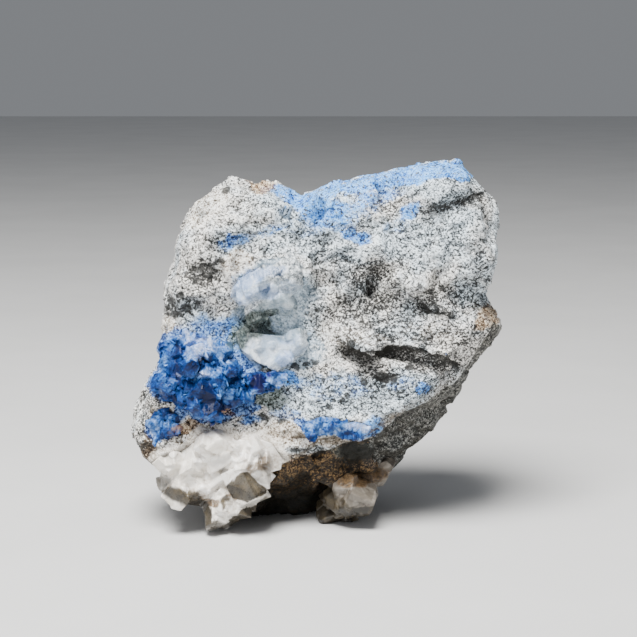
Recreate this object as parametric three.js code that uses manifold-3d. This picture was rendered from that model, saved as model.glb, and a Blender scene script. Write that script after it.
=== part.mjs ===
// Raw linarite on its host rock: a broken hand specimen of pale granular rock with azure-blue
// linarite crystals, milky quartz in its lower left corner and right foot, and clear quartz
// in a pocket of its face. Millimetres, +Z up. The face with the blue crystals looks along -Y.
import * as THREE from "three";
import { ConvexGeometry } from "three/addons/geometries/ConvexGeometry.js";
import { ImprovedNoise } from "three/addons/math/ImprovedNoise.js";
import { mergeVertices } from "three/addons/utils/BufferGeometryUtils.js";
import Module from "manifold-3d";

const wasm = await Module();
wasm.setup();

// Driving dimensions
const HEIGHT = 58; // base to highest tip
const FACE_DEPTH = 14; // from the plane of the outline forward to the face
const BACK_DEPTH = 15; // from the plane of the outline back to the back
const WALL_START = -4; // where the specimen is widest, along Y
const FACE_BEVEL = 0.28; // how far the walls lean in towards the face, per mm of depth
const BACK_BEVEL = 0.3; // and towards the back
const EDGE_ROUND = 3.2; // rounding where a wall meets the face or the back
const CUT_ROUND = 1.4; // rounding where a fracture plane meets the rest
const FIT_GAP = 0.35; // clear space between a crystal and the rock it sits in
const SEAT_FLARE = 0.6; // how fast a crystal group's seat widens outwards, mm per mm
const ROCK_TRIANGLES = 3800; // what the rock's surface is reduced to
const LEAN = 0.05; // how far the face leans back, per mm of height
const EDGE_ROUGHNESS = 0.35; // share of the roughness that is left at the outline
const EDGE_BAND = 5; // how far in from the outline the roughness grows to its whole

// Facets of the broken rock: their size across, the steps between them, and their slope
const SLABS = { cell: 9.5, step: 1.2, slope: 0.65, seed: 1 };
const CHIPS = { cell: 4.6, step: 0.55, slope: 0.5, seed: 2 };
const LUMPS = { height: 0.4, wavelength: 3.1 };
const ROUGHNESS_MEAN = 0.1; // taken off all round, so that the highest chips stay in the outline
const FACET_WARP = 0.16; // how crooked the facets' borders are, as a share of their size

// Ledges: how crooked their lines are, the share of their length over which an end fades, half
// the width of the step, and where the crevice under it runs and how wide it is
const LEDGE_WOBBLE = 0.5;
const LEDGE_WAVELENGTH = 2.6;
const LEDGE_FADE = 0.18;
const LEDGE_STEP = 0.45;
const CREVICE_BELOW = 1;
const CREVICE_WIDTH = 0.9;

// The skin that is shrunk on the rock: a box of points, each on a ray from a smaller box
const SKIN_SIZE = [64, 34, 62];
const SKIN_STEPS = [54, 26, 54];
const SKIN_JITTER = 0.7;
const SKIN_JITTER_WAVELENGTH = 2.2;
const RAY_START = new THREE.Vector3(0.33, 0.15, 0.33); // the smaller box's share of the skin's

const CENTRE = new THREE.Vector3(0, 1, HEIGHT / 2);

// The specimen's outline seen from the front, [x, z], clockwise from the left lobe's peak
const OUTLINE = [
  [-14, 55.8], [-10.6, 55.2], [-6.9, 54.2], [-5.6, 53.3], [-3, 52.6], [-1, 53.8],
  [1.7, 54.6], [6.5, 55.8], [11.2, 56.4], [12.7, 57.1], [15.9, 57.6], [20.2, 58],
  [22.8, 58.1], [23.9, 56], [25.7, 54.4], [27.4, 52.3], [28.6, 50.4], [28.5, 47.1],
  [28.3, 45], [28.7, 44.2], [28.1, 41.7], [26.7, 36.9], [27.7, 35.2], [29.3, 32.8],
  [29.1, 31.5], [27.7, 29.9], [26, 27], [24.2, 24.2], [23.2, 20.6], [22.8, 17.8],
  [21.2, 15.6], [17.8, 12.3], [14.7, 10.8], [13.9, 8.8], [11.8, 6.9], [9.4, 3.2],
  [7.6, -2.6], [-13, -2.6], [-17.4, 1], [-21.5, 5], [-25.5, 8], [-28.4, 11],
  [-29.6, 13.9], [-29.9, 17.6], [-28.6, 20.4], [-27.2, 23.7], [-25.3, 25.8],
  [-25.9, 28.6], [-25.5, 32.7], [-24.7, 37.2], [-23.5, 41.7], [-22.5, 46.3],
  [-20.1, 50.4], [-17.4, 53.3],
];

// Fracture planes, each through three points on it
const FRACTURES = {
  rightFlank: [[14.2, -3, 8.9], [29.3, -9.5, 31.5], [9.2, -13, 15.8]],
  underFace: [[-10.6, -13, 8.9], [8.2, -13, 15.5], [1.8, -6, 5.5]],
  topBack: [[-20, 9, 50], [20, 7, 56], [0, 15, 43]],
  rightBack: [[26, 2, 40], [22, 4, 20], [13, 16, 34]],
  leftBack: [[-27, 3, 18], [-22, 4, 44], [-14, 15.5, 30]],
  lowBack: [[-18, 15.5, 12], [10, 14, 14], [-2, 9.5, -1]],
};

// Hollows (positive depth) and swells (negative) of the face: centre, half sizes, turn in degrees
const FACE_FORMS = [
  { name: "notch valley", x: -3.5, z: 49, rx: 4, rz: 7, turn: 12, depth: 1.5 },
  { name: "left lobe", x: -15, z: 49, rx: 6, rz: 6, turn: 0, depth: -0.8 },
  { name: "crystal pocket", x: -8.5, z: 35.5, rx: 7.5, rz: 6.5, turn: 20, depth: 1.9 },
  { name: "pocket pit", x: -10, z: 33.6, rx: 3.2, rz: 1.9, turn: 35, depth: 2.6 },
  { name: "upper right groove", x: 21.2, z: 51.6, rx: 6, rz: 1.5, turn: 22, depth: 1.9 },
  { name: "upper right swell", x: 21.5, z: 47, rx: 4.5, rz: 2.6, turn: 15, depth: -0.8 },
  { name: "scoop by the pocket", x: 8.6, z: 37.6, rx: 4.2, rz: 4.8, turn: -20, depth: 1.5 },
  { name: "shade over the shelf", x: 17.6, z: 35.9, rx: 4.6, rz: 1.9, turn: 4, depth: 2 },
  { name: "pits below the shelf", x: 12.2, z: 24.6, rx: 2.4, rz: 1.2, turn: -8, depth: 0.9 },
  { name: "blue cluster bed", x: -18.6, z: 24, rx: 5, rz: 6, turn: 10, depth: 1.3 },
  { name: "quartz bed", x: -15.5, z: 9, rx: 9.5, rz: 6.8, turn: 8, depth: 1.4 },
  { name: "lower swell", x: 2, z: 21, rx: 9, rz: 4, turn: -5, depth: -0.7 },
];

// Ledges of the face: the rock above each line stands out by `out`, fading over `reach` above
// it, and a crevice of depth `crevice` runs under it
const LEDGES = [
  { name: "main shelf", out: 3, reach: 4, crevice: 2.4,
    line: [[3.4, 30.6], [5.2, 29.2], [8.4, 28.8], [12, 29.6], [15, 29.3], [18.1, 28.1], [23.2, 26]] },
  { name: "brow over the shelf", out: 1.7, reach: 3.5, crevice: 0.7,
    line: [[9.8, 39.6], [13.4, 38.2], [17.6, 38.8], [21.5, 39.4], [25, 41.4]] },
  { name: "ridge by the pocket", out: 1, reach: 2.6, crevice: 0.7,
    line: [[7.6, 45.2], [5, 41.8], [3.2, 38.6], [2.4, 35.4]] },
  { name: "brow over the pocket pit", out: 1.3, reach: 2.4, crevice: 0.7,
    line: [[-13.6, 33.2], [-11.2, 34.8], [-8.6, 36], [-5.4, 35.6]] },
  { name: "lower lip", out: 0.9, reach: 3, crevice: 0.4,
    line: [[-7.5, 17.2], [-3.8, 15.6], [0, 15.9], [4, 15.6]] },
];

// Ledges of the back, in the same form
const BACK_LEDGES = [
  { name: "back shelf", out: 2, reach: 5, crevice: 1,
    line: [[-16, 36], [-9, 33.5], [-2, 34.5], [6, 31], [14, 32.5]] },
  { name: "back step", out: 1.5, reach: 4, crevice: 0.8,
    line: [[-20, 20], [-12, 18], [-4, 20.5], [5, 18.5], [12, 20]] },
  { name: "back brow", out: 1.3, reach: 3, crevice: 0.6,
    line: [[-6, 47], [1, 45], [9, 47.5], [16, 46]] },
];

// Broad forms of the back: centre, half sizes, turn in degrees, depth
const BACK_FORMS = [
  { name: "upper hollow", x: 4, z: 40, rx: 7, rz: 4, turn: 15, depth: 1.6 },
  { name: "lower hollow", x: -9, z: 25, rx: 6, rz: 4, turn: -20, depth: 1.5 },
  { name: "right swell", x: 10, z: 25, rx: 5, rz: 5, turn: 0, depth: -1.2 },
];

// Small helpers
const clamp01 = (t) => Math.min(1, Math.max(0, t));
const smoothStep = (a, b, t) => {
  const s = clamp01((t - a) / (b - a));
  return s * s * (3 - 2 * s);
};
// The larger of a and b, rounded off where they are within r of each other
const smoothMax = (a, b, r) => {
  const h = Math.max(r - Math.abs(a - b), 0) / r;
  return Math.max(a, b) + (h * h * r) / 4;
};
// A repeatable stream of numbers from 0 to 1
function randomStream(seed) {
  let state = seed >>> 0;
  return () => {
    state = (state + 0x6d2b79f5) >>> 0;
    let t = state;
    t = Math.imul(t ^ (t >>> 15), t | 1);
    t ^= t + Math.imul(t ^ (t >>> 7), t | 61);
    return ((t ^ (t >>> 14)) >>> 0) / 4294967296;
  };
}
const perlin = new ImprovedNoise();
const noiseAt = (x, y, z, wavelength, shift = 0) =>
  perlin.noise(x / wavelength + shift + 17.3, y / wavelength + 31.7, z / wavelength + 5.9);

// The outline as a distance: negative inside it
function outlineDistance(x, z) {
  let nearest = Infinity;
  let inside = false;
  for (let i = 0, j = OUTLINE.length - 1; i < OUTLINE.length; j = i++) {
    const [ax, az] = OUTLINE[j];
    const [bx, bz] = OUTLINE[i];
    const dx = bx - ax;
    const dz = bz - az;
    const t = clamp01(((x - ax) * dx + (z - az) * dz) / (dx * dx + dz * dz));
    nearest = Math.min(nearest, Math.hypot(x - ax - t * dx, z - az - t * dz));
    if (az > z !== bz > z && x < ax + ((z - az) / dz) * dx) inside = !inside;
  }
  return inside ? -nearest : nearest;
}

// How deep the listed hollows make the surface at x, z
function formDepth(forms, x, z) {
  let depth = 0;
  for (const form of forms) {
    const angle = THREE.MathUtils.degToRad(form.turn);
    const u = (x - form.x) * Math.cos(angle) + (z - form.z) * Math.sin(angle);
    const v = (z - form.z) * Math.cos(angle) - (x - form.x) * Math.sin(angle);
    const r2 = (u / form.rx) ** 2 + (v / form.rz) ** 2;
    if (r2 < 6) depth += form.depth * Math.exp(-r2 * 1.1);
  }
  return depth;
}

// How far the listed ledges make the surface stand out at x, z
function ledgeRise(ledges, x, z) {
  const wobble = LEDGE_WOBBLE * noiseAt(x, 3, z, LEDGE_WAVELENGTH);
  let rise = 0;
  for (const ledge of ledges) {
    let nearest = Infinity;
    let side = 0;
    let along = 0;
    const { line } = ledge;
    for (let i = 0; i < line.length - 1; i++) {
      const [ax, az] = line[i];
      const dx = line[i + 1][0] - ax;
      const dz = line[i + 1][1] - az;
      const free = ((x - ax) * dx + (z - az) * dz) / (dx * dx + dz * dz);
      const t = clamp01(free);
      const gap = Math.hypot(x - ax - t * dx, z - az - t * dz);
      if (gap < nearest) {
        nearest = gap;
        side = Math.sign((z - az) * dx - (x - ax) * dz);
        along = (i + t) / (line.length - 1);
      }
    }
    const above = side * nearest + wobble;
    const ends = smoothStep(0, LEDGE_FADE, along) * smoothStep(0, LEDGE_FADE, 1 - along);
    const fade = Math.exp(-Math.max(above, 0) / ledge.reach);
    const step = smoothStep(-LEDGE_STEP, LEDGE_STEP, above) * fade;
    const crevice = Math.exp(-(((above + CREVICE_BELOW) / CREVICE_WIDTH) ** 2));
    rise += ends * (ledge.out * step - ledge.crevice * crevice);
  }
  return rise;
}

// One flat facet's plane: where its seed is, its rise there and its slopes
const facetPlanes = new Map();
function facetPlane(i, j, k, cell, seed) {
  const key = ((seed * 128 + i + 64) * 128 + j + 64) * 128 + k + 64;
  let plane = facetPlanes.get(key);
  if (!plane) {
    const random = randomStream(Math.imul(key, 2654435761));
    const spot = [i, j, k].map((n) => (n + 0.15 + 0.7 * random()) * cell);
    plane = { spot, rise: random() - 0.5, slopes: [random() - 0.5, random() - 0.5, random() - 0.5] };
    facetPlanes.set(key, plane);
  }
  return plane;
}

// Facets of broken rock: each point takes the plane of the nearest seed in a jittered lattice,
// which leaves flat areas with small steps between them
function facets(x, y, z, { cell, step, slope, seed }) {
  const wx = x + FACET_WARP * cell * noiseAt(x, y, z, cell / 2, 2);
  const wz = z + FACET_WARP * cell * noiseAt(x, y, z, cell / 2, 7);
  const i0 = Math.round(wx / cell) - 1;
  const j0 = Math.round(y / cell) - 1;
  const k0 = Math.round(wz / cell) - 1;
  let nearest = Infinity;
  let found = null;
  for (let n = 0; n < 8; n++) {
    const plane = facetPlane(i0 + (n & 1), j0 + ((n >> 1) & 1), k0 + (n >> 2), cell, seed);
    const [sx, sy, sz] = plane.spot;
    const away = (wx - sx) ** 2 + (y - sy) ** 2 + (wz - sz) ** 2;
    if (away < nearest) {
      nearest = away;
      found = plane;
    }
  }
  const [sx, sy, sz] = found.spot;
  const [gx, gy, gz] = found.slopes;
  return step * found.rise + slope * (gx * (x - sx) + gy * (y - sy) + gz * (z - sz));
}

// Roughness of a broken, granular rock
function roughness(x, y, z) {
  const lumps = LUMPS.height * noiseAt(x, y, z, LUMPS.wavelength, 9);
  return facets(x, y, z, SLABS) + facets(x, y, z, CHIPS) + lumps + ROUGHNESS_MEAN;
}

const fracturePlanes = Object.values(FRACTURES).map((points) => {
  const plane = new THREE.Plane().setFromCoplanarPoints(
    ...points.map((p) => new THREE.Vector3(...p)),
  );
  return plane.distanceToPoint(CENTRE) > 0 ? plane.negate() : plane;
});

const point = new THREE.Vector3();

// The whole specimen before crystals: negative inside
function rockField(x, y, z) {
  const bevel = FACE_BEVEL * Math.max(0, WALL_START - y) + BACK_BEVEL * Math.max(0, y - WALL_START);
  const edge = outlineDistance(x, z);
  const wall = edge + bevel * 0.6;
  const faceY = -FACE_DEPTH + LEAN * (z - HEIGHT / 2) + formDepth(FACE_FORMS, x, z);
  const face = faceY - ledgeRise(LEDGES, x, z) - y;
  const backY = BACK_DEPTH - LEAN * (z - HEIGHT / 2) - formDepth(BACK_FORMS, x, z);
  const back = y - backY - ledgeRise(BACK_LEDGES, x, z);
  let field = smoothMax(wall, Math.max(face, back), EDGE_ROUND);
  point.set(x, y, z);
  for (const plane of fracturePlanes) {
    field = smoothMax(field, plane.distanceToPoint(point), CUT_ROUND);
  }
  const share = EDGE_ROUGHNESS + (1 - EDGE_ROUGHNESS) * smoothStep(0, EDGE_BAND, -edge);
  return field + share * roughness(x, y, z);
}

// Where a ray from inside the rock leaves it
function leavesAt(from, direction) {
  const stepLength = 0.6;
  const at = (t) =>
    rockField(from.x + direction.x * t, from.y + direction.y * t, from.z + direction.z * t);
  let inside = 0;
  while (at(inside + stepLength) < 0) inside += stepLength;
  let outside = inside + stepLength;
  for (let i = 0; i < 12; i++) {
    const middle = (inside + outside) / 2;
    if (at(middle) < 0) inside = middle;
    else outside = middle;
  }
  return from.clone().addScaledVector(direction, inside);
}

// The face's surface point at x, z
function onFace(x, z) {
  return leavesAt(new THREE.Vector3(x, WALL_START + 3, z), new THREE.Vector3(0, -1, 0));
}

// The outward direction of the rock's surface near a point
function outwardAt({ x, y, z }) {
  const e = 0.8;
  return new THREE.Vector3(
    rockField(x + e, y, z) - rockField(x - e, y, z),
    rockField(x, y + e, z) - rockField(x, y - e, z),
    rockField(x, y, z + e) - rockField(x, y, z - e),
  ).normalize();
}

// A fine skin of the rock: a box of points, each pushed out along its own ray
function rockSkin() {
  const box = new THREE.BoxGeometry(...SKIN_SIZE, ...SKIN_STEPS);
  box.deleteAttribute("normal");
  box.deleteAttribute("uv");
  const skin = mergeVertices(box);
  const position = skin.attributes.position;
  const target = new THREE.Vector3();
  const jitter = (shift) =>
    SKIN_JITTER * noiseAt(target.x, target.y, target.z, SKIN_JITTER_WAVELENGTH, shift);
  for (let i = 0; i < position.count; i++) {
    target.fromBufferAttribute(position, i);
    target.x += jitter(1);
    target.z += jitter(6);
    const start = target.clone().multiply(RAY_START);
    const direction = target.clone().sub(start).normalize();
    const found = leavesAt(start.add(CENTRE), direction);
    position.setXYZ(i, found.x, found.y, found.z);
  }
  return skin;
}

// Reduces a closed mesh to about `wanted` triangles, keeping ledges and edges: the edge whose
// removal moves the surface least goes first (quadric error)
function reduceMesh(geometry, wanted) {
  const points = [];
  for (let i = 0; i < geometry.attributes.position.count; i++) {
    points.push(new THREE.Vector3().fromBufferAttribute(geometry.attributes.position, i));
  }
  const faces = [];
  for (let i = 0; i < geometry.index.count; i += 3) {
    faces.push([0, 1, 2].map((k) => geometry.index.getX(i + k)));
  }
  const quadrics = points.map(() => new Float64Array(10));
  const facesOf = points.map(() => new Set());
  const normalOf = (a, b, c) => b.clone().sub(a).cross(c.clone().sub(a));
  faces.forEach((face, f) => {
    const corners = face.map((v) => points[v]);
    const normal = normalOf(...corners);
    const area = normal.length() / 2;
    normal.normalize();
    const row = [normal.x, normal.y, normal.z, -normal.dot(corners[0])];
    for (const v of face) {
      facesOf[v].add(f);
      for (let i = 0, k = 0; i < 4; i++) {
        for (let j = i; j < 4; j++, k++) quadrics[v][k] += area * row[i] * row[j];
      }
    }
  });
  const errorAt = (q, p) => {
    const row = [p.x, p.y, p.z, 1];
    let sum = 0;
    for (let i = 0, k = 0; i < 4; i++) {
      for (let j = i; j < 4; j++, k++) sum += (i === j ? 1 : 2) * q[k] * row[i] * row[j];
    }
    return Math.max(0, sum);
  };
  const stamp = points.map(() => 0);
  const heap = [];
  const before = (a, b) => a.cost < b.cost;
  const push = (item) => {
    let i = heap.push(item) - 1;
    while (i > 0) {
      const parent = (i - 1) >> 1;
      if (!before(heap[i], heap[parent])) break;
      [heap[i], heap[parent]] = [heap[parent], heap[i]];
      i = parent;
    }
  };
  const pop = () => {
    const top = heap[0];
    const last = heap.pop();
    if (heap.length) {
      heap[0] = last;
      for (let i = 0; ; ) {
        const left = 2 * i + 1;
        let best = i;
        if (left < heap.length && before(heap[left], heap[best])) best = left;
        if (left + 1 < heap.length && before(heap[left + 1], heap[best])) best = left + 1;
        if (best === i) break;
        [heap[i], heap[best]] = [heap[best], heap[i]];
        i = best;
      }
    }
    return top;
  };
  const offer = (a, b) => {
    const q = quadrics[a].map((value, k) => value + quadrics[b][k]);
    const middle = points[a].clone().lerp(points[b], 0.5);
    const places = [points[a], points[b], middle];
    const errors = places.map((p) => errorAt(q, p));
    const best = errors.indexOf(Math.min(...errors));
    const cost = errors[best] + 1e-4 * points[a].distanceToSquared(points[b]);
    push({ cost, a, b, to: places[best].clone(), stamps: [stamp[a], stamp[b]] });
  };
  const neighbours = (v) => {
    const found = new Set();
    for (const f of facesOf[v]) for (const w of faces[f]) if (w !== v) found.add(w);
    return found;
  };
  points.forEach((_, v) => {
    for (const w of neighbours(v)) if (v < w) offer(v, w);
  });
  // A move is refused if it folds a face over or leaves a sliver
  const spoils = (v, other, to) => {
    for (const f of facesOf[v]) {
      if (faces[f].includes(other)) continue;
      const corners = faces[f].map((w) => points[w]);
      const old = normalOf(...corners);
      const moved = faces[f].map((w) => (w === v ? to : points[w]));
      const fresh = normalOf(...moved);
      const longest = Math.max(
        moved[0].distanceTo(moved[1]), moved[1].distanceTo(moved[2]), moved[2].distanceTo(moved[0]),
      );
      if (fresh.length() < 0.12 * longest * longest) return true;
      if (fresh.dot(old) < 0.5 * fresh.length() * old.length()) return true;
    }
    return false;
  };
  let left = faces.length;
  while (left > wanted && heap.length) {
    const { a, b, to, stamps } = pop();
    if (stamps[0] !== stamp[a] || stamps[1] !== stamp[b]) continue;
    const around = neighbours(a);
    const shared = [...neighbours(b)].filter((w) => around.has(w));
    if (shared.length !== 2 || spoils(a, b, to) || spoils(b, a, to)) continue;
    for (const f of [...facesOf[b]]) {
      if (faces[f].includes(a)) {
        for (const w of faces[f]) facesOf[w].delete(f);
        faces[f] = null;
        left--;
      } else {
        faces[f] = faces[f].map((w) => (w === b ? a : w));
        facesOf[a].add(f);
      }
    }
    facesOf[b].clear();
    points[a].copy(to);
    quadrics[a] = quadrics[a].map((value, k) => value + quadrics[b][k]);
    stamp[a]++;
    stamp[b]++;
    for (const w of neighbours(a)) offer(a, w);
  }
  const reduced = new THREE.BufferGeometry();
  reduced.setAttribute(
    "position",
    new THREE.Float32BufferAttribute(points.flatMap((p) => [p.x, p.y, p.z]), 3),
  );
  reduced.setIndex(faces.filter(Boolean).flat());
  return reduced;
}

// Between three.js geometry and closed solids
function solidOf(geometry) {
  const bare = new THREE.BufferGeometry();
  bare.setAttribute("position", geometry.attributes.position);
  bare.setIndex(geometry.index);
  const merged = mergeVertices(bare, 1e-4);
  return new wasm.Manifold(
    new wasm.Mesh({
      numProp: 3,
      vertProperties: new Float32Array(merged.attributes.position.array),
      triVerts: new Uint32Array(merged.index.array),
    }),
  );
}
function geometryOf(solid) {
  const mesh = solid.getMesh();
  const geometry = new THREE.BufferGeometry();
  geometry.setAttribute("position", new THREE.BufferAttribute(mesh.vertProperties, 3));
  geometry.setIndex(new THREE.BufferAttribute(mesh.triVerts, 1));
  return geometry;
}
const joined = (solids) => solids.reduce((whole, next) => whole.add(next));
const largestBody = (solid) =>
  solid.decompose().reduce((best, body) => (body.volume() > best.volume() ? body : best));

// Whether x, z is inside a region of the front view, given as [x, z] points
function insideRegion(region, x, z) {
  let inside = false;
  region.forEach(([bx, bz], i) => {
    const [ax, az] = region.at(i - 1);
    if (az > z !== bz > z && x < ax + ((z - az) * (bx - ax)) / (bz - az)) inside = !inside;
  });
  return inside;
}

// A convex crystal from its corner points, turned and placed
function crystalSolid(corners, turn, place) {
  return solidOf(new ConvexGeometry(corners.map((c) => c.clone().applyQuaternion(turn).add(place))));
}

// A six-sided quartz crystal of unequal faces with a point at each end, along its own Z
function quartzCorners(size, random) {
  const corners = [];
  const radius = size * 0.42;
  const length = size * 1.2;
  for (let i = 0; i < 6; i++) {
    const angle = ((i + 0.22 * (random() - 0.5)) * Math.PI) / 3;
    const r = radius * (0.85 + 0.3 * random());
    const shoulder = length / 2 - radius * (0.7 + 0.4 * random());
    corners.push(new THREE.Vector3(r * Math.cos(angle), r * Math.sin(angle), shoulder));
    corners.push(new THREE.Vector3(r * Math.cos(angle), r * Math.sin(angle), -shoulder));
  }
  corners.push(new THREE.Vector3(0.2 * radius, 0.1 * radius, length / 2));
  corners.push(new THREE.Vector3(-0.1 * radius, -0.2 * radius, -length / 2));
  return corners;
}

// A blocky piece of broken quartz: a skewed block with some corners broken off
function blockCorners(size, random) {
  const corners = [];
  for (let i = 0; i < 8; i++) {
    const sign = [i & 1 ? 1 : -1, i & 2 ? 1 : -1, i & 4 ? 1 : -1];
    const corner = new THREE.Vector3(
      sign[0] * size * (0.42 + 0.16 * random()) + sign[2] * size * 0.12,
      sign[1] * size * (0.38 + 0.16 * random()),
      sign[2] * size * (0.36 + 0.2 * random()),
    );
    if (random() < 0.3) {
      corners.push(corner.clone().multiply(new THREE.Vector3(0.55, 1, 1)));
      corners.push(corner.clone().multiply(new THREE.Vector3(1, 0.55, 1)));
      corners.push(corner.clone().multiply(new THREE.Vector3(1, 1, 0.55)));
    } else {
      corners.push(corner);
    }
  }
  return corners;
}

// A bladed linarite crystal with slanted ends, along its own X
function bladeCorners(length, random) {
  const width = length * (0.5 + 0.2 * random());
  const thickness = length * (0.34 + 0.16 * random());
  const corners = [];
  for (const end of [-1, 1]) {
    for (const side of [-1, 1]) {
      const tip = end * length * (0.5 + 0.14 * side);
      corners.push(new THREE.Vector3(tip, (side * width) / 2, thickness / 2));
      corners.push(new THREE.Vector3(tip * 0.8, (side * width) / 2, -thickness / 2));
    }
  }
  return corners;
}

const randomTurn = (random) =>
  new THREE.Quaternion().setFromEuler(
    new THREE.Euler(random() * Math.PI * 2, random() * Math.PI * 2, random() * Math.PI * 2),
  );

// The seat of a crystal group: a faceted cup that opens outwards, from `deep` below the face at
// x, z to `top` above it. `grow` makes it that much larger all round
const SEAT_SIDES = 8;
function seatSolid({ x, z, rx, rz, deep, out }, top, grow = 0) {
  const base = onFace(x, z);
  const outward = out ? new THREE.Vector3(...out).normalize() : outwardAt(base);
  const turn = new THREE.Quaternion().setFromUnitVectors(new THREE.Vector3(0, 0, 1), outward);
  const random = randomStream(Math.round(100 * x + z));
  const wobbles = Array.from({ length: SEAT_SIDES }, () => 0.9 + 0.2 * random());
  const corners = [];
  for (const level of [-deep - grow, top]) {
    const wider = SEAT_FLARE * level + grow * 1.15;
    wobbles.forEach((wobble, i) => {
      const angle = (i * 2 * Math.PI) / SEAT_SIDES;
      const across = (rx * wobble + wider) * Math.cos(angle);
      const along = (rz * wobble + wider) * Math.sin(angle);
      corners.push(new THREE.Vector3(across, along, level).applyQuaternion(turn).add(base));
    });
  }
  return solidOf(new ConvexGeometry(corners));
}
const seatsOf = (seats, top, grow) => joined(seats.map((seat) => seatSolid(seat, top, grow)));

// Linarite blades standing in the seats of their group
function linariteBlades({ seats, blades, length, seed }) {
  const random = randomStream(seed);
  const area = seats.reduce((sum, { rx, rz }) => sum + rx * rz, 0);
  return seats.flatMap(({ x, z, rx, rz }) =>
    Array.from({ length: Math.round((blades * rx * rz) / area) }, () => {
      const r = Math.sqrt(random()) * 0.85;
      const angle = random() * Math.PI * 2;
      const place = onFace(x + rx * r * Math.cos(angle), z + rz * r * Math.sin(angle));
      const corners = bladeCorners(length * (0.7 + 0.6 * random()), random);
      return crystalSolid(corners, randomTurn(random), place);
    }),
  );
}

// Quartz blocks and stubby crystals whose centres fill a region of the front view, in layers
// from the front back; `frontY` is where the first layer's crystals come to. `tips` are single
// blocks, [x, z, size]
function quartzBlocks({ region, spacing, size, layers, frontY, lean, points, seed, tips = [] }) {
  const random = randomStream(seed);
  const xs = region.map(([x]) => x);
  const zs = region.map(([, z]) => z);
  const blocks = [];
  const depthAt = (z, own) => frontY + lean * Math.max(0, 10 - z) + own * 0.45;
  for (let layer = 0; layer < layers; layer++) {
    for (let z = Math.min(...zs), row = 0; z < Math.max(...zs) + 0.1; z += spacing, row++) {
      for (let x = Math.min(...xs) + (row % 2) * spacing * 0.5; x < Math.max(...xs); x += spacing) {
        const cx = x + spacing * 0.4 * (random() - 0.5);
        const cz = z + spacing * 0.4 * (random() - 0.5);
        const own = size * (0.75 + 0.5 * random());
        const corners = random() < points ? quartzCorners(own, random) : blockCorners(own, random);
        const turn = randomTurn(random);
        if (!insideRegion(region, cx, cz)) continue;
        const y = depthAt(cz, own) + layer * size * 0.8;
        blocks.push(crystalSolid(corners, turn, new THREE.Vector3(cx, y, cz)));
      }
    }
  }
  for (const [x, z, own] of tips) {
    const place = new THREE.Vector3(x, depthAt(z, own), z);
    blocks.push(crystalSolid(blockCorners(own, random), randomTurn(random), place));
  }
  return blocks;
}

// The broad clear slab in the pocket: corners of its front facet, [x, z, out from the face]
const POCKET_SLAB = [
  [-10.6, 32, 0.9], [-13.3, 28, 1.5], [-9.6, 26.7, 1.9], [-3.6, 27.4, 1.7], [-4.4, 31.2, 0.6],
];
function pocketSlab() {
  const face = onFace(-8.6, 29.6).y;
  const corners = POCKET_SLAB.flatMap(([x, z, out]) => [
    new THREE.Vector3(x, face - out, z),
    new THREE.Vector3(x * 0.9 - 0.8, face + 2, z * 0.9 + 2.8),
  ]);
  return solidOf(new ConvexGeometry(corners));
}

// Blue linarite: the seats that carry it, how many blades, their length
const LINARITE = {
  linarite_main_cluster: {
    seats: [
      { x: -20.6, z: 29.2, rx: 3.2, rz: 3, deep: 1.6 },
      { x: -22, z: 24.2, rx: 3, rz: 3.2, deep: 1.6 },
      { x: -17.4, z: 22.2, rx: 4.2, rz: 3.6, deep: 1.8 },
      { x: -15, z: 25.6, rx: 3, rz: 2.6, deep: 1.6 },
    ],
    blades: 24, length: 4, seed: 11,
  },
  linarite_indigo_crystals: {
    seats: [
      { x: -9.4, z: 24, rx: 1.9, rz: 1.7, deep: 1.3 },
      { x: -6.8, z: 24.7, rx: 2.1, rz: 1.3, deep: 1.3 },
    ],
    blades: 8, length: 2.4, seed: 5,
  },
  linarite_left_patch: {
    seats: [{ x: -24.4, z: 17.6, rx: 2.2, rz: 2.4, deep: 1.3 }],
    blades: 9, length: 2.4, seed: 23,
  },
  linarite_lower_seam: {
    seats: [
      { x: 0.6, z: 17.6, rx: 3.2, rz: 1.4, deep: 1.2 },
      { x: 5.4, z: 17, rx: 2.8, rz: 1.4, deep: 1.2 },
    ],
    blades: 9, length: 2.1, seed: 31,
  },
};

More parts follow.
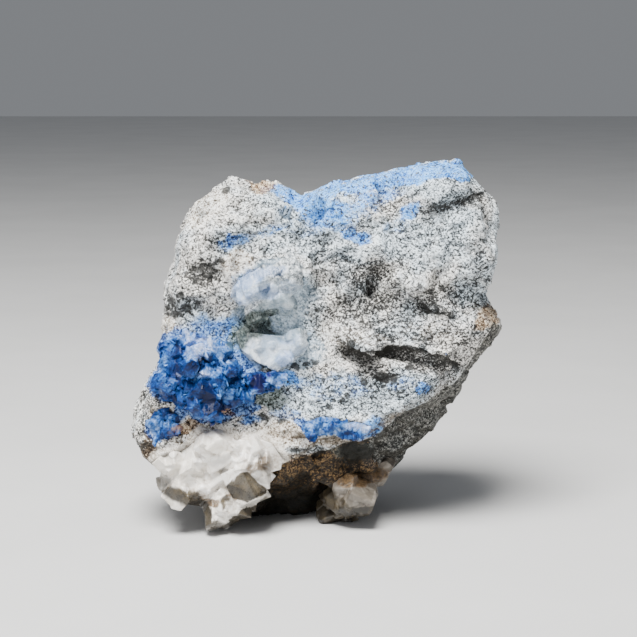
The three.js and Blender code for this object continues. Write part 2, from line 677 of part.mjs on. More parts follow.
// Quartz: its seats, and the region of the front view that its crystals' centres fill
const QUARTZ = {
  milky_quartz: {
    seats: [
      { x: -17.2, z: 8, rx: 10.2, rz: 8, deep: 4.6, out: [-0.3, -0.85, -0.46] },
      { x: -11, z: 11.4, rx: 6, rz: 5, deep: 3, out: [0, -0.95, -0.3] },
    ],
    region: [
      [-24.8, 11.6], [-24, 9], [-22.6, 5.2], [-20.2, 5.2], [-18.2, 6.4], [-17.2, 1.6],
      [-12.8, 1.4], [-12.4, 4.2], [-11, 6.6], [-9.2, 9.2], [-8.2, 12], [-8.4, 14.4],
      [-11, 16], [-16, 16], [-21.5, 14.4], [-24.8, 13.4],
    ],
    spacing: 3.6, size: 4.6, layers: 2, frontY: -15, lean: 0.14, points: 0.2, seed: 42,
    tips: [[-21.2, 7, 4.8], [-17, 3.8, 3.8]], bedTop: -1.8,
  },
  right_foot_quartz: {
    seats: [{ x: 5.2, z: 6.8, rx: 4.6, rz: 4.8, deep: 2.6, out: [0.1, -0.4, -0.9] }],
    region: [[2, 1.3], [1.8, 3.4], [3.6, 4.8], [6.8, 6.4], [8.8, 6], [8, 3], [7, 1.3]],
    spacing: 3, size: 4.2, layers: 2, frontY: -11.8, lean: 0, points: 0.25, seed: 7,
  },
  pocket_quartz_upper: {
    seats: [{ x: -7.4, z: 39.3, rx: 5.2, rz: 3.1, deep: 1.8 }],
    region: [[-11.4, 37.6], [-10.6, 40.6], [-7.6, 41.6], [-3, 39], [-3.4, 37], [-8, 36.6]],
    spacing: 3.1, size: 4.2, layers: 1, frontY: -14.4, lean: 0, points: 0.3, seed: 17,
  },
  pocket_quartz_lower: {
    seats: [{ x: -8.4, z: 29.4, rx: 5.2, rz: 3.2, deep: 2 }],
    region: [[-6, 30.6], [-6, 32.2], [-2.8, 31.6], [-2.8, 29.8]],
    spacing: 2.6, size: 3.4, layers: 1, frontY: -14.4, lean: 0, points: 0, seed: 29,
    slab: true,
  },
};

const BED_TOP = 0.2; // the shared bed of a crystal group ends this far above the face
const SEAT_TOP = 9; // a seat cuts off nothing this far above the face
const SEAT_KEPT = 2.5; // and the next groups keep out of this much of it

// Builds every piece, cuts its seat in the rock and returns name and solid
function buildPieces() {
  const ground = solidOf(new THREE.BoxGeometry(120, 120, 40).translate(0, 0, -20));
  let rock = solidOf(reduceMesh(rockSkin(), ROCK_TRIANGLES)).subtract(ground);
  const pieces = {};
  let taken = null;
  const addPiece = (name, seats, crystals, bedTop = BED_TOP) => {
    const grown = seatsOf(seats, SEAT_TOP, FIT_GAP);
    rock = rock.subtract(grown);
    const whole = joined([seatsOf(seats, bedTop, 0), ...crystals]);
    let solid = whole.intersect(seatsOf(seats, SEAT_TOP, 0)).subtract(ground);
    if (taken) solid = solid.subtract(taken);
    const kept = joined([seatsOf(seats, SEAT_KEPT, FIT_GAP), ...crystals]);
    taken = taken ? taken.add(kept) : kept;
    pieces[name] = largestBody(solid);
  };
  for (const [name, group] of Object.entries(QUARTZ)) {
    const crystals = quartzBlocks(group);
    if (group.slab) crystals.push(pocketSlab());
    addPiece(name, group.seats, crystals, group.bedTop);
  }
  for (const [name, group] of Object.entries(LINARITE)) {
    addPiece(name, group.seats, linariteBlades(group));
  }
  return { matrix_rock: largestBody(rock), ...pieces };
}

// Each mineral's colour, roughness and metalness
const LOOKS = {
  matrix_rock: { color: 0xb9b6ae, roughness: 0.9 },
  milky_quartz: { color: 0xe9e3d6, roughness: 0.35 },
  right_foot_quartz: { color: 0xcfc4b2, roughness: 0.4 },
  pocket_quartz_upper: { color: 0xc9d6e4, roughness: 0.3 },
  pocket_quartz_lower: { color: 0xd3dfe4, roughness: 0.3 },
  linarite: { color: 0x2455b8, roughness: 0.3 },
};

const specimen = new THREE.Group();
for (const [name, solid] of Object.entries(buildPieces())) {
  const look = LOOKS[name] ?? LOOKS.linarite;
  const material = new THREE.MeshStandardMaterial({ ...look, metalness: 0, flatShading: true });
  const mesh = new THREE.Mesh(geometryOf(solid), material);
  mesh.name = name;
  specimen.add(mesh);
}

// The origin is under the middle of the specimen's box, at its base
const extent = new THREE.Box3().setFromObject(specimen);
const middle = extent.getCenter(new THREE.Vector3());
specimen.position.set(-middle.x, -middle.y, -extent.min.z);

export default specimen;
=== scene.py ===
import math

import bmesh
import bpy
import numpy as np
from mathutils import Euler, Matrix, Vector
from mathutils.kdtree import KDTree


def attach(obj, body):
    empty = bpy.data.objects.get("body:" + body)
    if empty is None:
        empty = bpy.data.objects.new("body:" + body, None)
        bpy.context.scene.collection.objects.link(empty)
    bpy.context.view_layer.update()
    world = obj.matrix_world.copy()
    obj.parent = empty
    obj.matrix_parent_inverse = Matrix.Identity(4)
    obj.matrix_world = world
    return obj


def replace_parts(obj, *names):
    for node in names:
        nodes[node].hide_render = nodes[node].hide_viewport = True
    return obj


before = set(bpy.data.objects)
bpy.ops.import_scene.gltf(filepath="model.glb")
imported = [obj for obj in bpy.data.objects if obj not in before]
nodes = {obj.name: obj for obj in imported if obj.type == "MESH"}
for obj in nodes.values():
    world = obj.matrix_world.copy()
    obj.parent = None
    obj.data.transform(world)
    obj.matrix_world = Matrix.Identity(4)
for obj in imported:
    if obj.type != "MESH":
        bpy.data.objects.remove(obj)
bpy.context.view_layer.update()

# Lengths are in millimetres and places in the photograph in its pixels, unless metres are named
MM = 0.001

# Camera: the photograph's viewing angle
PHOTO_SIZE = 637
LENS = 100.0
SENSOR = 36.0
ELEVATION = math.radians(9.0)
DISTANCE = 289.0
TARGET = np.array([0.355, 0.047, 32.1])
FOCAL_PIXELS = LENS / SENSOR * PHOTO_SIZE
TO_CAMERA = np.array([0.0, -math.cos(ELEVATION), math.sin(ELEVATION)])
CAMERA_UP = np.array([0.0, math.sin(ELEVATION), math.cos(ELEVATION)])

# The rock's fine mesh, and its flat facets: (size, height, noise channel, stretch)
ROCK_VOXEL = 0.3
ROCK_SMOOTHING = 8
ROCK_TRIANGLES = 190000
FAR_SIDE_DETAIL = 0.25  # share of the front's detail that the far side keeps
BEDDING = (0.55, 0.9, 1.15)  # grain and chips are longer along x
ROCK_FACETS = [
    (3.4, 0.5, 100, (1, 1, 1.25)), (1.3, 0.26, 200, BEDDING), (0.62, 0.1, 300, BEDDING),
]
ROCK_BUMPS = [(0.16, 2.2, 30, 3), (0.07, 0.9, 40, 2)]  # height, wavelength, channel, octaves
# Surfaces facing this way get the flank's dark grey and painted shade
FLANK_FACING = np.array([0.72, 0.0, -0.6])
CLOSE_REACH = 1.3  # how far around a crystal group the rock swells to meet it
CLOSE_SWELL = 0.45
MILKY_REACH = 2.0  # how far from the milky quartz the rock is white
ROCK_GRAIN = 0.28  # its sugary grain, which the pocket's quartz has too
FINE_GRAIN = 0.16
FINE_SHIFT = 4.0

# The crystal groups' fine meshes
QUARTZ_VOXEL = 0.15
MASS_TRIANGLES = 90000
MASS_CHANNEL = 400  # of their facets' noise
CRYSTAL_TURNS = [(20, 35, 10), (-30, 15, 50), (55, -25, -20)]  # degrees
TURN_SPREAD = 14  # degrees
BLOCK_SIDES = (0.32, 0.62)  # shares of a block's size
BLOCK_SKEW = 0.3
CORNER_OFF = 0.3  # share of a block's corners that are broken off
CORNER_CUT = 0.35  # how far out the edges at a broken corner reach
PLACED_SINK = 0.12  # how deep a block stands in its mass, as a share of its size
EXTRA_SINK = 0.25
BLADE_SIZES = (0.45, 1.25)
BLADE_WIDTHS = (0.35, 0.7)
BLADE_THICKNESSES = (0.16, 0.32)
CANDIDATE_SPOTS = 4000
OUTLINE_PULL = 0.9  # share of what passes an outline that is taken back


def linked(name, data):
    """A new object in the scene"""
    thing = bpy.data.objects.new(name, data)
    bpy.context.scene.collection.objects.link(thing)
    return thing


camera = linked("camera", bpy.data.cameras.new("camera"))
camera.data.lens = LENS
camera.data.sensor_width = SENSOR
camera.data.clip_start = 0.01
camera.location = Vector((TARGET + TO_CAMERA * DISTANCE) * MM)
camera.rotation_euler = Vector(-TO_CAMERA).to_track_quat("-Z", "Y").to_euler()
bpy.context.scene.camera = camera


def photo_pixels(points):
    """Where points are in the photograph"""
    rel = points - TARGET
    depth = DISTANCE - rel @ TO_CAMERA
    px = PHOTO_SIZE / 2 + FOCAL_PIXELS * rel[:, 0] / depth
    py = PHOTO_SIZE / 2 - FOCAL_PIXELS * (rel @ CAMERA_UP) / depth
    return px, py


# Repeatable noise on arrays of points
def cell_random(cells, channel):
    h = cells[:, 0] * 73856093 ^ cells[:, 1] * 19349663 ^ cells[:, 2] * 83492791 ^ channel * 40503
    for shift, factor in ((15, 2246822519), (13, 3266489917), (16, 668265263)):
        h = (h ^ (h >> shift)) * factor & 0xFFFFFFFF
    return (h >> 8) / float(1 << 24)


def cell_vectors(cells, channel):
    return np.stack([cell_random(cells, channel + k) for k in range(3)], axis=1)


def soft_noise(points, wavelength, channel):
    """Smooth noise from -1 to 1"""
    scaled = points / wavelength + 37.7
    base = np.floor(scaled).astype(np.int64)
    f = scaled - base
    f = f * f * (3 - 2 * f)
    total = np.zeros(len(points))
    for corner in range(8):
        offset = np.array([corner & 1, corner >> 1 & 1, corner >> 2 & 1])
        weight = np.prod(np.where(offset, f, 1 - f), axis=1)
        total += weight * cell_random(base + offset, channel)
    return total * 2 - 1


def fractal(points, wavelength, channel, octaves=3):
    """Noise of several sizes, each half the last, from about -1 to 1"""
    total = np.zeros(len(points))
    for i in range(octaves):
        total += soft_noise(points, wavelength / 2**i, channel + i) / 2**i
    return total / 1.6


# How lines and masks waver: (noise, pixels, wavelength, channel for x, channel for y)
LINE_SHAKE = [(soft_noise, 3, 1.6, 61, 62)]
BORDER_SHAKE = [(soft_noise, 2.5, 1.3, 74, 75)]
MASK_SHAKE = [(fractal, 7, 2.6, 70, 80), (soft_noise, 2, 0.7, 73, 83)]
CRYSTAL_SHAKE = [(fractal, 4, 1.8, 500, 510)]
FACE_SHAKE = [(soft_noise, 1, 0.9, 505, 506)]


def shaken_pixels(points, shake):
    """Where points are in the photograph, moved about by noise"""
    px, py = photo_pixels(points)
    for noise, pixels, wavelength, channel_x, channel_y in shake:
        px = px + pixels * noise(points, wavelength, channel_x)
        py = py + pixels * noise(points, wavelength, channel_y)
    return px, py


def facets(points, cell, channel):
    """Flat facets with steps between them: (height from about -1 to 1, distance to the border
    in cells, a random number of the facet)"""
    shift = [soft_noise(points, cell * 0.5, channel + 50 + k) for k in range(3)]
    moved = points + 0.18 * cell * np.stack(shift, axis=1)
    base = np.floor(moved / cell).astype(np.int64)
    first = np.full(len(points), np.inf)
    second = np.full(len(points), np.inf)
    height = np.zeros(len(points))
    own = np.zeros(len(points))
    for n in range(27):
        near = base + np.array([n % 3 - 1, n // 3 % 3 - 1, n // 9 - 1])
        spot = (near + 0.1 + 0.8 * cell_vectors(near, channel + 1)) * cell
        tilt = cell_vectors(near, channel + 4) - 0.5
        step = cell_random(near, channel + 7)
        plane = step - 0.5 + np.sum(tilt * (points - spot), axis=1) / cell
        away = np.linalg.norm(moved - spot, axis=1) / cell
        closer = away < first
        second = np.where(closer, first, np.minimum(second, away))
        height = np.where(closer, plane, height)
        own = np.where(closer, step, own)
        first = np.where(closer, away, first)
    return height, second - first, own


def smooth_step(a, b, t):
    s = np.clip((t - a) / (b - a), 0, 1)
    return s * s * (3 - 2 * s)


# Mesh helpers
def read(items, name, width, kind=np.float32):
    values = np.zeros(len(items) * width, kind)
    items.foreach_get(name, values)
    return values.reshape(-1, width)


def points_of(mesh):
    return read(mesh.vertices, "co", 3).astype(np.float64) / MM


def set_points(mesh, points):
    mesh.vertices.foreach_set("co", (points * MM).astype(np.float32).ravel())
    mesh.update()


def normals_of(mesh):
    return read(mesh.vertices, "normal", 3).astype(np.float64)


def edges_of(mesh):
    return read(mesh.edges, "vertices", 2, np.int32)


def neighbour_mean(values, edges):
    """Mean of each vertex's neighbours, for an (n, k) array"""
    count = len(values)
    total = np.zeros_like(values)
    degree = np.bincount(edges.ravel(), minlength=count).reshape(-1, 1)
    for k in range(values.shape[1]):
        total[:, k] = np.bincount(edges[:, 0], values[edges[:, 1], k], count)
        total[:, k] += np.bincount(edges[:, 1], values[edges[:, 0], k], count)
    return total / np.maximum(degree, 1)


def smoothed(values, edges, rounds):
    for _ in range(rounds):
        values = values + 0.5 * (neighbour_mean(values, edges) - values)
    return values


def set_attribute(mesh, name, values):
    attribute = mesh.attributes.get(name) or mesh.attributes.new(name, "FLOAT", "POINT")
    attribute.data.foreach_set("value", np.asarray(values, np.float32))


def new_piece(name, mesh, material):
    piece = linked(name, mesh)
    mesh.materials.clear()
    mesh.materials.append(material)
    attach(piece, "root")
    return piece


def modified(mesh, setup):
    """The mesh after the modifiers that setup(object) adds"""
    holder = linked("holder", mesh)
    setup(holder)
    depsgraph = bpy.context.evaluated_depsgraph_get()
    result = bpy.data.meshes.new_from_object(holder.evaluated_get(depsgraph))
    bpy.data.objects.remove(holder)
    return result


def fine_skin(mesh, voxel, rounds, normal_rounds):
    """A voxel remesh of a mesh, smoothed: (mesh, its points, its smoothed normals)"""
    def setup(holder):
        remesh = holder.modifiers.new("remesh", "REMESH")
        remesh.mode = "VOXEL"
        remesh.voxel_size = voxel * MM
    skin = modified(mesh, setup)
    edges = edges_of(skin)
    points = smoothed(points_of(skin), edges, rounds)
    set_points(skin, points)
    normals = smoothed(normals_of(skin), edges, normal_rounds)
    return skin, points, normals / np.linalg.norm(normals, axis=1, keepdims=True)


def decimated(mesh, wanted, weights=None):
    """The mesh in the wanted number of triangles, with more of them where weights are high"""
    count = sum(len(p.vertices) - 2 for p in mesh.polygons)
    if count <= wanted:
        return mesh

    def setup(holder):
        decimate = holder.modifiers.new("decimate", "DECIMATE")
        decimate.ratio = wanted / count
        if weights is not None:
            group = holder.vertex_groups.new(name="keep")
            for level in range(1, 11):
                chosen = np.where(np.ceil(weights * 10) == level)[0]
                group.add(chosen.tolist(), level / 10, "REPLACE")
            decimate.vertex_group = "keep"
            decimate.invert_vertex_group = True
    return modified(mesh, setup)


def copy_of(node):
    """A CAD node's mesh in a new mesh, its vertices merged"""
    bm = bmesh.new()
    bm.from_mesh(nodes[node].data)
    bmesh.ops.remove_doubles(bm, verts=bm.verts, dist=1e-6)
    mesh = bpy.data.meshes.new(node + "_copy")
    bm.to_mesh(mesh)
    bm.free()
    mesh.materials.clear()
    return mesh


# Masks drawn on the photograph's view
SOFT_EDGE = 0.35  # share of an ellipse's size
DEEP_EDGE = 0.25


def mask_of(px, py, table, edge=SOFT_EDGE):
    """Cover by ellipses: each is centre x, y, half sizes, a turn in degrees or none, strength"""
    rest = np.ones(len(px))
    for cx, cy, rx, ry, *turn, strength in table:
        a = math.radians(turn[0] if turn else 0)
        u = ((px - cx) * math.cos(a) + (py - cy) * math.sin(a)) / rx
        v = ((py - cy) * math.cos(a) - (px - cx) * math.sin(a)) / ry
        inside = 1 - smooth_step(1 - edge, 1 + edge, np.sqrt(u * u + v * v))
        rest *= 1 - strength * inside
    return 1 - rest


def line_distance(px, py, points):
    """Distance to a line drawn from left to right, negative above it"""
    nearest = np.full(len(px), np.inf)
    for (ax, ay), (bx, by) in zip(points, points[1:]):
        dx, dy = bx - ax, by - ay
        t = np.clip(((px - ax) * dx + (py - ay) * dy) / (dx * dx + dy * dy), 0, 1)
        away = np.hypot(px - ax - t * dx, py - ay - t * dy)
        lower = (py - ay) * dx - (px - ax) * dy > 0
        nearest = np.where(away < np.abs(nearest), np.where(lower, away, -away), nearest)
    return nearest


def line_depth(px, py, lines):
    """Depth of carved lines: each is (width in pixels, depth, points)"""
    depth = np.zeros(len(px))
    for width, deep, points in lines:
        away = line_distance(px, py, points)
        depth = np.maximum(depth, deep * np.exp(-((away / width) ** 2)))
    return depth


def under_ledges(px, py, ledges):
    """How much lies under ledges drawn from left to right: each is (strength, reach in pixels,
    points). It starts sharply at the line, fades below it and at the line's ends"""
    found = np.zeros(len(px))
    for strength, reach, points in ledges:
        below = line_distance(px, py, points)
        first, last = points[0][0], points[-1][0]
        ends = smooth_step(first - 2, first + 8, px) * smooth_step(last + 2, last - 8, px)
        profile = smooth_step(-0.8, 0.8, below) * np.exp(-np.maximum(below, 0) / reach)
        found = np.maximum(found, strength * profile * ends)
    return found


def inside_area(px, py, corners, soft):
    """1 inside a closed line and 0 outside, soft at its border"""
    ring = corners + corners[:1]
    inside = np.zeros(len(px), bool)
    for (ax, ay), (bx, by) in zip(ring, ring[1:]):
        crossed = (py < ay) != (py < by)
        inside ^= crossed & (px < ax + (py - ay) * (bx - ax) / ((by - ay) or 1e-9))
    away = np.abs(line_distance(px, py, ring))
    return smooth_step(-soft, soft, np.where(inside, away, -away))


# Below the face's lower edge: the slanting right flank, and the recess between the feet.
# Their dark colours are partly the rock's own brown and dark grey, partly painted shade
FLANK_AREA = [
    (368, 440), (381, 431), (397, 417), (419, 405), (440, 393), (458, 380), (471, 360), (484, 338),
    (494, 322), (515, 330), (510, 372), (488, 405), (462, 440), (430, 480), (402, 508), (384, 482),
]
RECESS_AREA = [
    (368, 440), (342, 444), (322, 451), (296, 459), (274, 469), (255, 490), (235, 515), (235, 540),
    (335, 540), (400, 540), (384, 482),
]
SKY_BLUE = [
    (275, 192, 16, 6, 10, 0.6), (300, 198, 18, 9, 0.75), (318, 208, 27, 12, 8, 0.65),
    (345, 187, 30, 9, -14, 0.8), (385, 178, 28, 10, -10, 0.75), (415, 175, 22, 11, -5, 0.75),
    (440, 170, 28, 10, 1.0), (460, 170, 12, 11, 1.0), (330, 222, 26, 8, 10, 0.5),
    (375, 196, 26, 12, -10, 0.5), (356, 237, 15, 7, 20, 0.75), (410, 213, 10, 8, 0.6),
    (300, 228, 30, 8, 0.3), (350, 214, 30, 10, 0.35), (395, 225, 14, 8, 0.3),
    (232, 242, 16, 5, -12, 0.5), (262, 232, 24, 4, -8, 0.35), (424, 388, 8, 6, 0.6),
    (404, 385, 18, 8, 0.3), (250, 330, 30, 24, 0.25), (330, 385, 50, 14, 5, 0.3),
    (215, 340, 42, 26, 0.5), (290, 415, 26, 8, 8, 0.35), (372, 428, 12, 12, 0.6),
    (255, 285, 20, 20, 0.45), (300, 350, 26, 16, 0.2), (281, 380, 18, 7, 0.95),
    (250, 418, 14, 6, 0.5), (250, 368, 20, 8, 0.35),
]
DEEP_BLUE = [
    (175, 355, 22, 24, -10, 0.9), (172, 385, 26, 18, 10, 0.95), (205, 398, 34, 24, 10, 0.95),
    (235, 372, 24, 20, 0.6), (212, 330, 26, 10, -12, 0.5), (158, 384, 9, 8, 0.8),
    (246, 404, 13, 10, -15, 0.7), (263, 383, 10, 8, 5, 0.8), (258, 384, 9, 9, 1.0),
    (160, 428, 13, 17, 20, 0.9), (173, 418, 12, 8, 0.5), (318, 424, 22, 7, 5, 0.85),
    (232, 240, 7, 4, 0.7), (457, 172, 7, 4, 0.4), (424, 389, 5, 4, 0.4), (356, 431, 16, 9, 5, 0.8),
    (247, 418, 9, 4, 0.6), (184, 325, 16, 6, -15, 0.5),
]
# Darker rock: partly dark grains, partly painted shade on the shaded facet, the brow, the groove
# and the main ledge
DARK_ROCK = [
    (200, 275, 20, 12, 0.6), (178, 306, 16, 12, 0.6), (185, 298, 14, 10, 0.3),
    (370, 290, 34, 36, 10, 0.6), (335, 258, 24, 12, 0.4), (434, 308, 24, 12, 5, 0.8),
    (456, 204, 34, 10, -14, 0.7), (470, 197, 13, 7, -20, 0.6), (386, 378, 16, 9, 10, 0.5),
    (360, 385, 12, 7, 0.4), (147, 432, 11, 38, 6, 0.95), (158, 398, 18, 8, 0.8),
    (150, 462, 9, 15, -20, 0.8), (395, 322, 10, 6, 0.3), (350, 350, 14, 6, 20, 0.7),
    (412, 371, 10, 6, 0.5), (484, 270, 8, 16, 0.6), (217, 243, 10, 5, 0.5),
    (322, 312, 12, 18, 0.45), (440, 180, 24, 6, 5, 0.3), (330, 400, 10, 6, 0.4),
    (405, 352, 52, 6, 4, 0.5), (450, 362, 18, 7, 20, 0.5), (400, 300, 60, 12, 0.3),
    (425, 240, 40, 14, 0.25), (405, 380, 56, 18, -8, 0.5), (432, 333, 50, 12, 0.4),
    (312, 236, 16, 12, 0.35), (330, 395, 60, 30, 0.15), (395, 205, 24, 10, -10, 0.25),
    (350, 300, 14, 30, 15, 0.35), (395, 270, 22, 12, -20, 0.4), (400, 334, 60, 14, 0.3),
    (400, 378, 60, 20, -10, 0.35), (375, 290, 30, 30, 0.2), (456, 300, 30, 20, 0.2),
    (430, 334, 56, 14, 0.25), (440, 300, 40, 16, 0.3), (372, 315, 24, 12, 0.4),
    (405, 347, 64, 14, 4, 0.3),
]
# Black grains; the long ones along the main ledge, the brow and the groove are painted shade
BLACK_SPECKS = [
    (200, 275, 18, 11, 0.9), (178, 306, 15, 11, 0.9), (188, 300, 12, 8, 0.6),
    (226, 190, 5, 3, -40, 0.9), (386, 378, 14, 8, 10, 0.6), (360, 385, 12, 6, 0.5),
    (296, 367, 5, 4, 1.0), (307, 366, 4, 3, 0.9), (263, 417, 4, 4, 1.0), (346, 396, 3, 3, 0.9),
    (365, 381, 4, 3, 0.8), (410, 367, 4, 3, 0.7), (430, 312, 16, 7, 0.5),
    (456, 206, 26, 6, -14, 0.35), (145, 430, 7, 34, 6, 0.45), (213, 240, 8, 4, 0.6),
    (225, 246, 10, 4, 0.4), (330, 404, 8, 5, 0.4), (400, 352, 46, 4, 4, 0.5),
    (370, 290, 26, 30, 10, 0.2), (206, 262, 6, 4, 0.7), (316, 388, 16, 8, 0.3),
    (270, 398, 12, 6, 0.5), (444, 186, 14, 4, 0.3),
]
# Black spots; the ones in the brow's hollow are painted shade
BLACK_SPOTS = [
    (296, 367, 5, 4, 1.0), (306, 364, 4, 3, 0.9), (315, 363, 4, 3, 0.8), (261, 370, 5, 3, 0.9),
    (269, 372, 3, 2, 0.9), (364, 382, 5, 4, 0.9), (382, 377, 7, 5, 20, 1.0), (395, 379, 5, 4, 0.8),
    (410, 367, 4, 3, 0.9), (329, 406, 4, 3, 0.9), (347, 396, 3, 3, 0.9), (282, 422, 5, 3, 0.9),
    (263, 417, 5, 4, 1.0), (226, 190, 5, 3, -40, 1.0), (388, 349, 5, 4, 1.0),
    (350, 345, 5, 4, 30, 1.0), (372, 396, 3, 2, 0.9), (341, 402, 3, 2, 0.9), (333, 391, 3, 2, 0.9),
    (430, 290, 4, 2, 0.8), (420, 288, 4, 3, 0.8), (222, 262, 3, 3, 0.9), (208, 270, 9, 7, 20, 0.6),
    (194, 279, 8, 6, 0.55), (186, 308, 6, 5, 0.6), (176, 313, 5, 4, 0.65), (197, 304, 5, 4, 0.6),
    (180, 295, 4, 4, 0.8), (318, 310, 4, 3, 0.8), (308, 313, 3, 3, 0.8), (298, 449, 9, 4, 0.6),
    (435, 309, 10, 6, 10, 0.45), (449, 314, 8, 5, 0.45), (355, 408, 3, 2, 0.8),
    (400, 392, 3, 2, 0.8), (300, 391, 3, 2, 0.8), (216, 263, 4, 3, 0.8), (170, 300, 4, 3, 0.8),
    (222, 236, 5, 3, 0.6),
]
COOL = [
    (310, 205, 50, 22, 0.7), (350, 240, 60, 24, 0.55), (330, 395, 60, 22, 0.8),
    (280, 345, 40, 25, 0.6), (255, 240, 40, 14, 0.4), (430, 240, 50, 34, 0.4),
    (300, 300, 30, 40, 0.4), (400, 400, 40, 14, -30, 0.5), (215, 335, 50, 20, 0.6),
    (440, 180, 50, 24, 0.6), (475, 280, 20, 24, 0.6), (384, 384, 60, 16, 0.4),
]
# Greenish-black rock, and painted shade in the pocket's pit and under the overhang
GREEN_BLACK_AND_SHADE = [
    (256, 324, 15, 13, -20, 0.95), (238, 338, 12, 14, 30, 0.75), (266, 394, 18, 8, -10, 0.75),
    (276, 306, 12, 8, 0.4), (276, 402, 16, 8, 0.6), (352, 452, 24, 8, 0.5), (289, 341, 12, 8, 0.25),
    (268, 370, 12, 4, 0.5),
]
RUST = [
    (262, 187, 15, 8, 25, 0.75), (240, 260, 12, 12, 0.3), (227, 411, 7, 4, 0.65),
    (190, 427, 20, 6, -10, 0.75), (490, 318, 14, 14, -30, 0.65), (310, 470, 48, 17, -14, 0.95),
    (360, 478, 34, 14, 0.9), (265, 487, 22, 12, 0.6), (150, 458, 9, 16, -15, 0.65),
    (284, 433, 22, 12, 10, 0.45), (478, 326, 10, 6, 0.4), (276, 462, 16, 10, -20, 0.6),
]
CREAM = [
    (207, 205, 26, 16, -35, 0.6), (190, 240, 12, 24, 10, 0.35), (238, 262, 22, 16, 0.65),
    (280, 434, 24, 16, 0.85), (160, 410, 14, 5, 0.8), (205, 430, 22, 6, 0.5),
    (335, 215, 22, 10, 0.25), (352, 205, 20, 9, 0.35), (166, 335, 12, 15, 0.95),
    (350, 337, 46, 10, 5, 0.45), (430, 332, 46, 12, 5, 0.4), (150, 446, 8, 10, 0.7),
    (185, 438, 22, 6, -12, 0.6), (292, 437, 36, 13, 8, 0.6), (345, 441, 36, 6, 0.7),
    (430, 400, 50, 10, -32, 0.45), (165, 320, 10, 10, 0.5), (480, 308, 14, 8, 0.4),
]
# Painted shadow: near-black spots under the overhang and between the feet, where shade falls
PAINTED_SHADOW_SPOTS = [
    (295, 512, 60, 22, 0.92), (355, 452, 20, 11, 1.0), (260, 503, 22, 14, 0.6),
    (325, 496, 50, 12, 0.7), (318, 452, 8, 4, -20, 0.6), (286, 480, 22, 8, -10, 0.3),
    (345, 468, 10, 8, 0.4),
]
# Where the rock itself passes into clear quartz round the pocket
GLASSY = [
    (276, 288, 42, 30, 15, 0.85), (284, 318, 26, 18, 0.8), (262, 352, 40, 22, -10, 0.85),
    (300, 352, 30, 16, 0.6), (320, 372, 40, 12, 0.3), (250, 316, 20, 16, 0.6),
]
MAIN_SHELF = [
    (342, 342), (352, 347), (364, 352), (378, 352), (392, 347), (408, 346), (422, 350), (434, 354),
    (448, 358), (466, 366),
]
SHELF_BROW = [(412, 296), (426, 304), (440, 312), (452, 315), (462, 316)]
RIGHT_GROOVE = [(424, 210), (438, 206), (454, 201), (470, 195), (488, 189)]
LEFT_LEDGE = [(212, 242), (226, 238), (246, 232), (270, 230)]
LEDGES = [  # depth, reach, line
    (1.4, 5, MAIN_SHELF), (0.7, 9, SHELF_BROW), (0.5, 10, RIGHT_GROOVE), (0.35, 6, LEFT_LEDGE),
    (0.5, 4, [(284, 367), (296, 364), (312, 362)]), (0.5, 6, [(376, 383), (388, 377), (406, 371)]),
    (0.6, 8, [(300, 268), (320, 262), (344, 250), (362, 246)]),
    (0.5, 7, [(352, 270), (366, 262), (384, 262), (400, 270)]),
    (0.5, 7, [(180, 296), (192, 298), (208, 292)]), (0.5, 8, [(396, 240), (430, 232), (470, 222)]),
    (0.4, 6, [(306, 402), (330, 398), (352, 402)]), (0.5, 7, [(390, 400), (414, 392), (440, 378)]),
]
# Painted shadow below the ledges, where shade falls under them
SHADED = [  # share of dark, reach, line
    (1.35, 2.6, MAIN_SHELF), (0.7, 8, MAIN_SHELF[:4]), (0.6, 9, MAIN_SHELF[6:]),
    (0.42, 9, SHELF_BROW), (0.5, 11, RIGHT_GROOVE), (0.45, 5, LEFT_LEDGE),
]
CREVICES = [
    (2.4, 0.5, [(344, 352), (356, 358), (368, 358)]),
    (2.0, 0.4, [(294, 206), (290, 226), (296, 246)]),
    (1.8, 0.5, [(338, 254), (352, 270), (358, 290), (350, 306)]),
    (2.4, 0.6, [(160, 404), (170, 400), (180, 398)]),
]


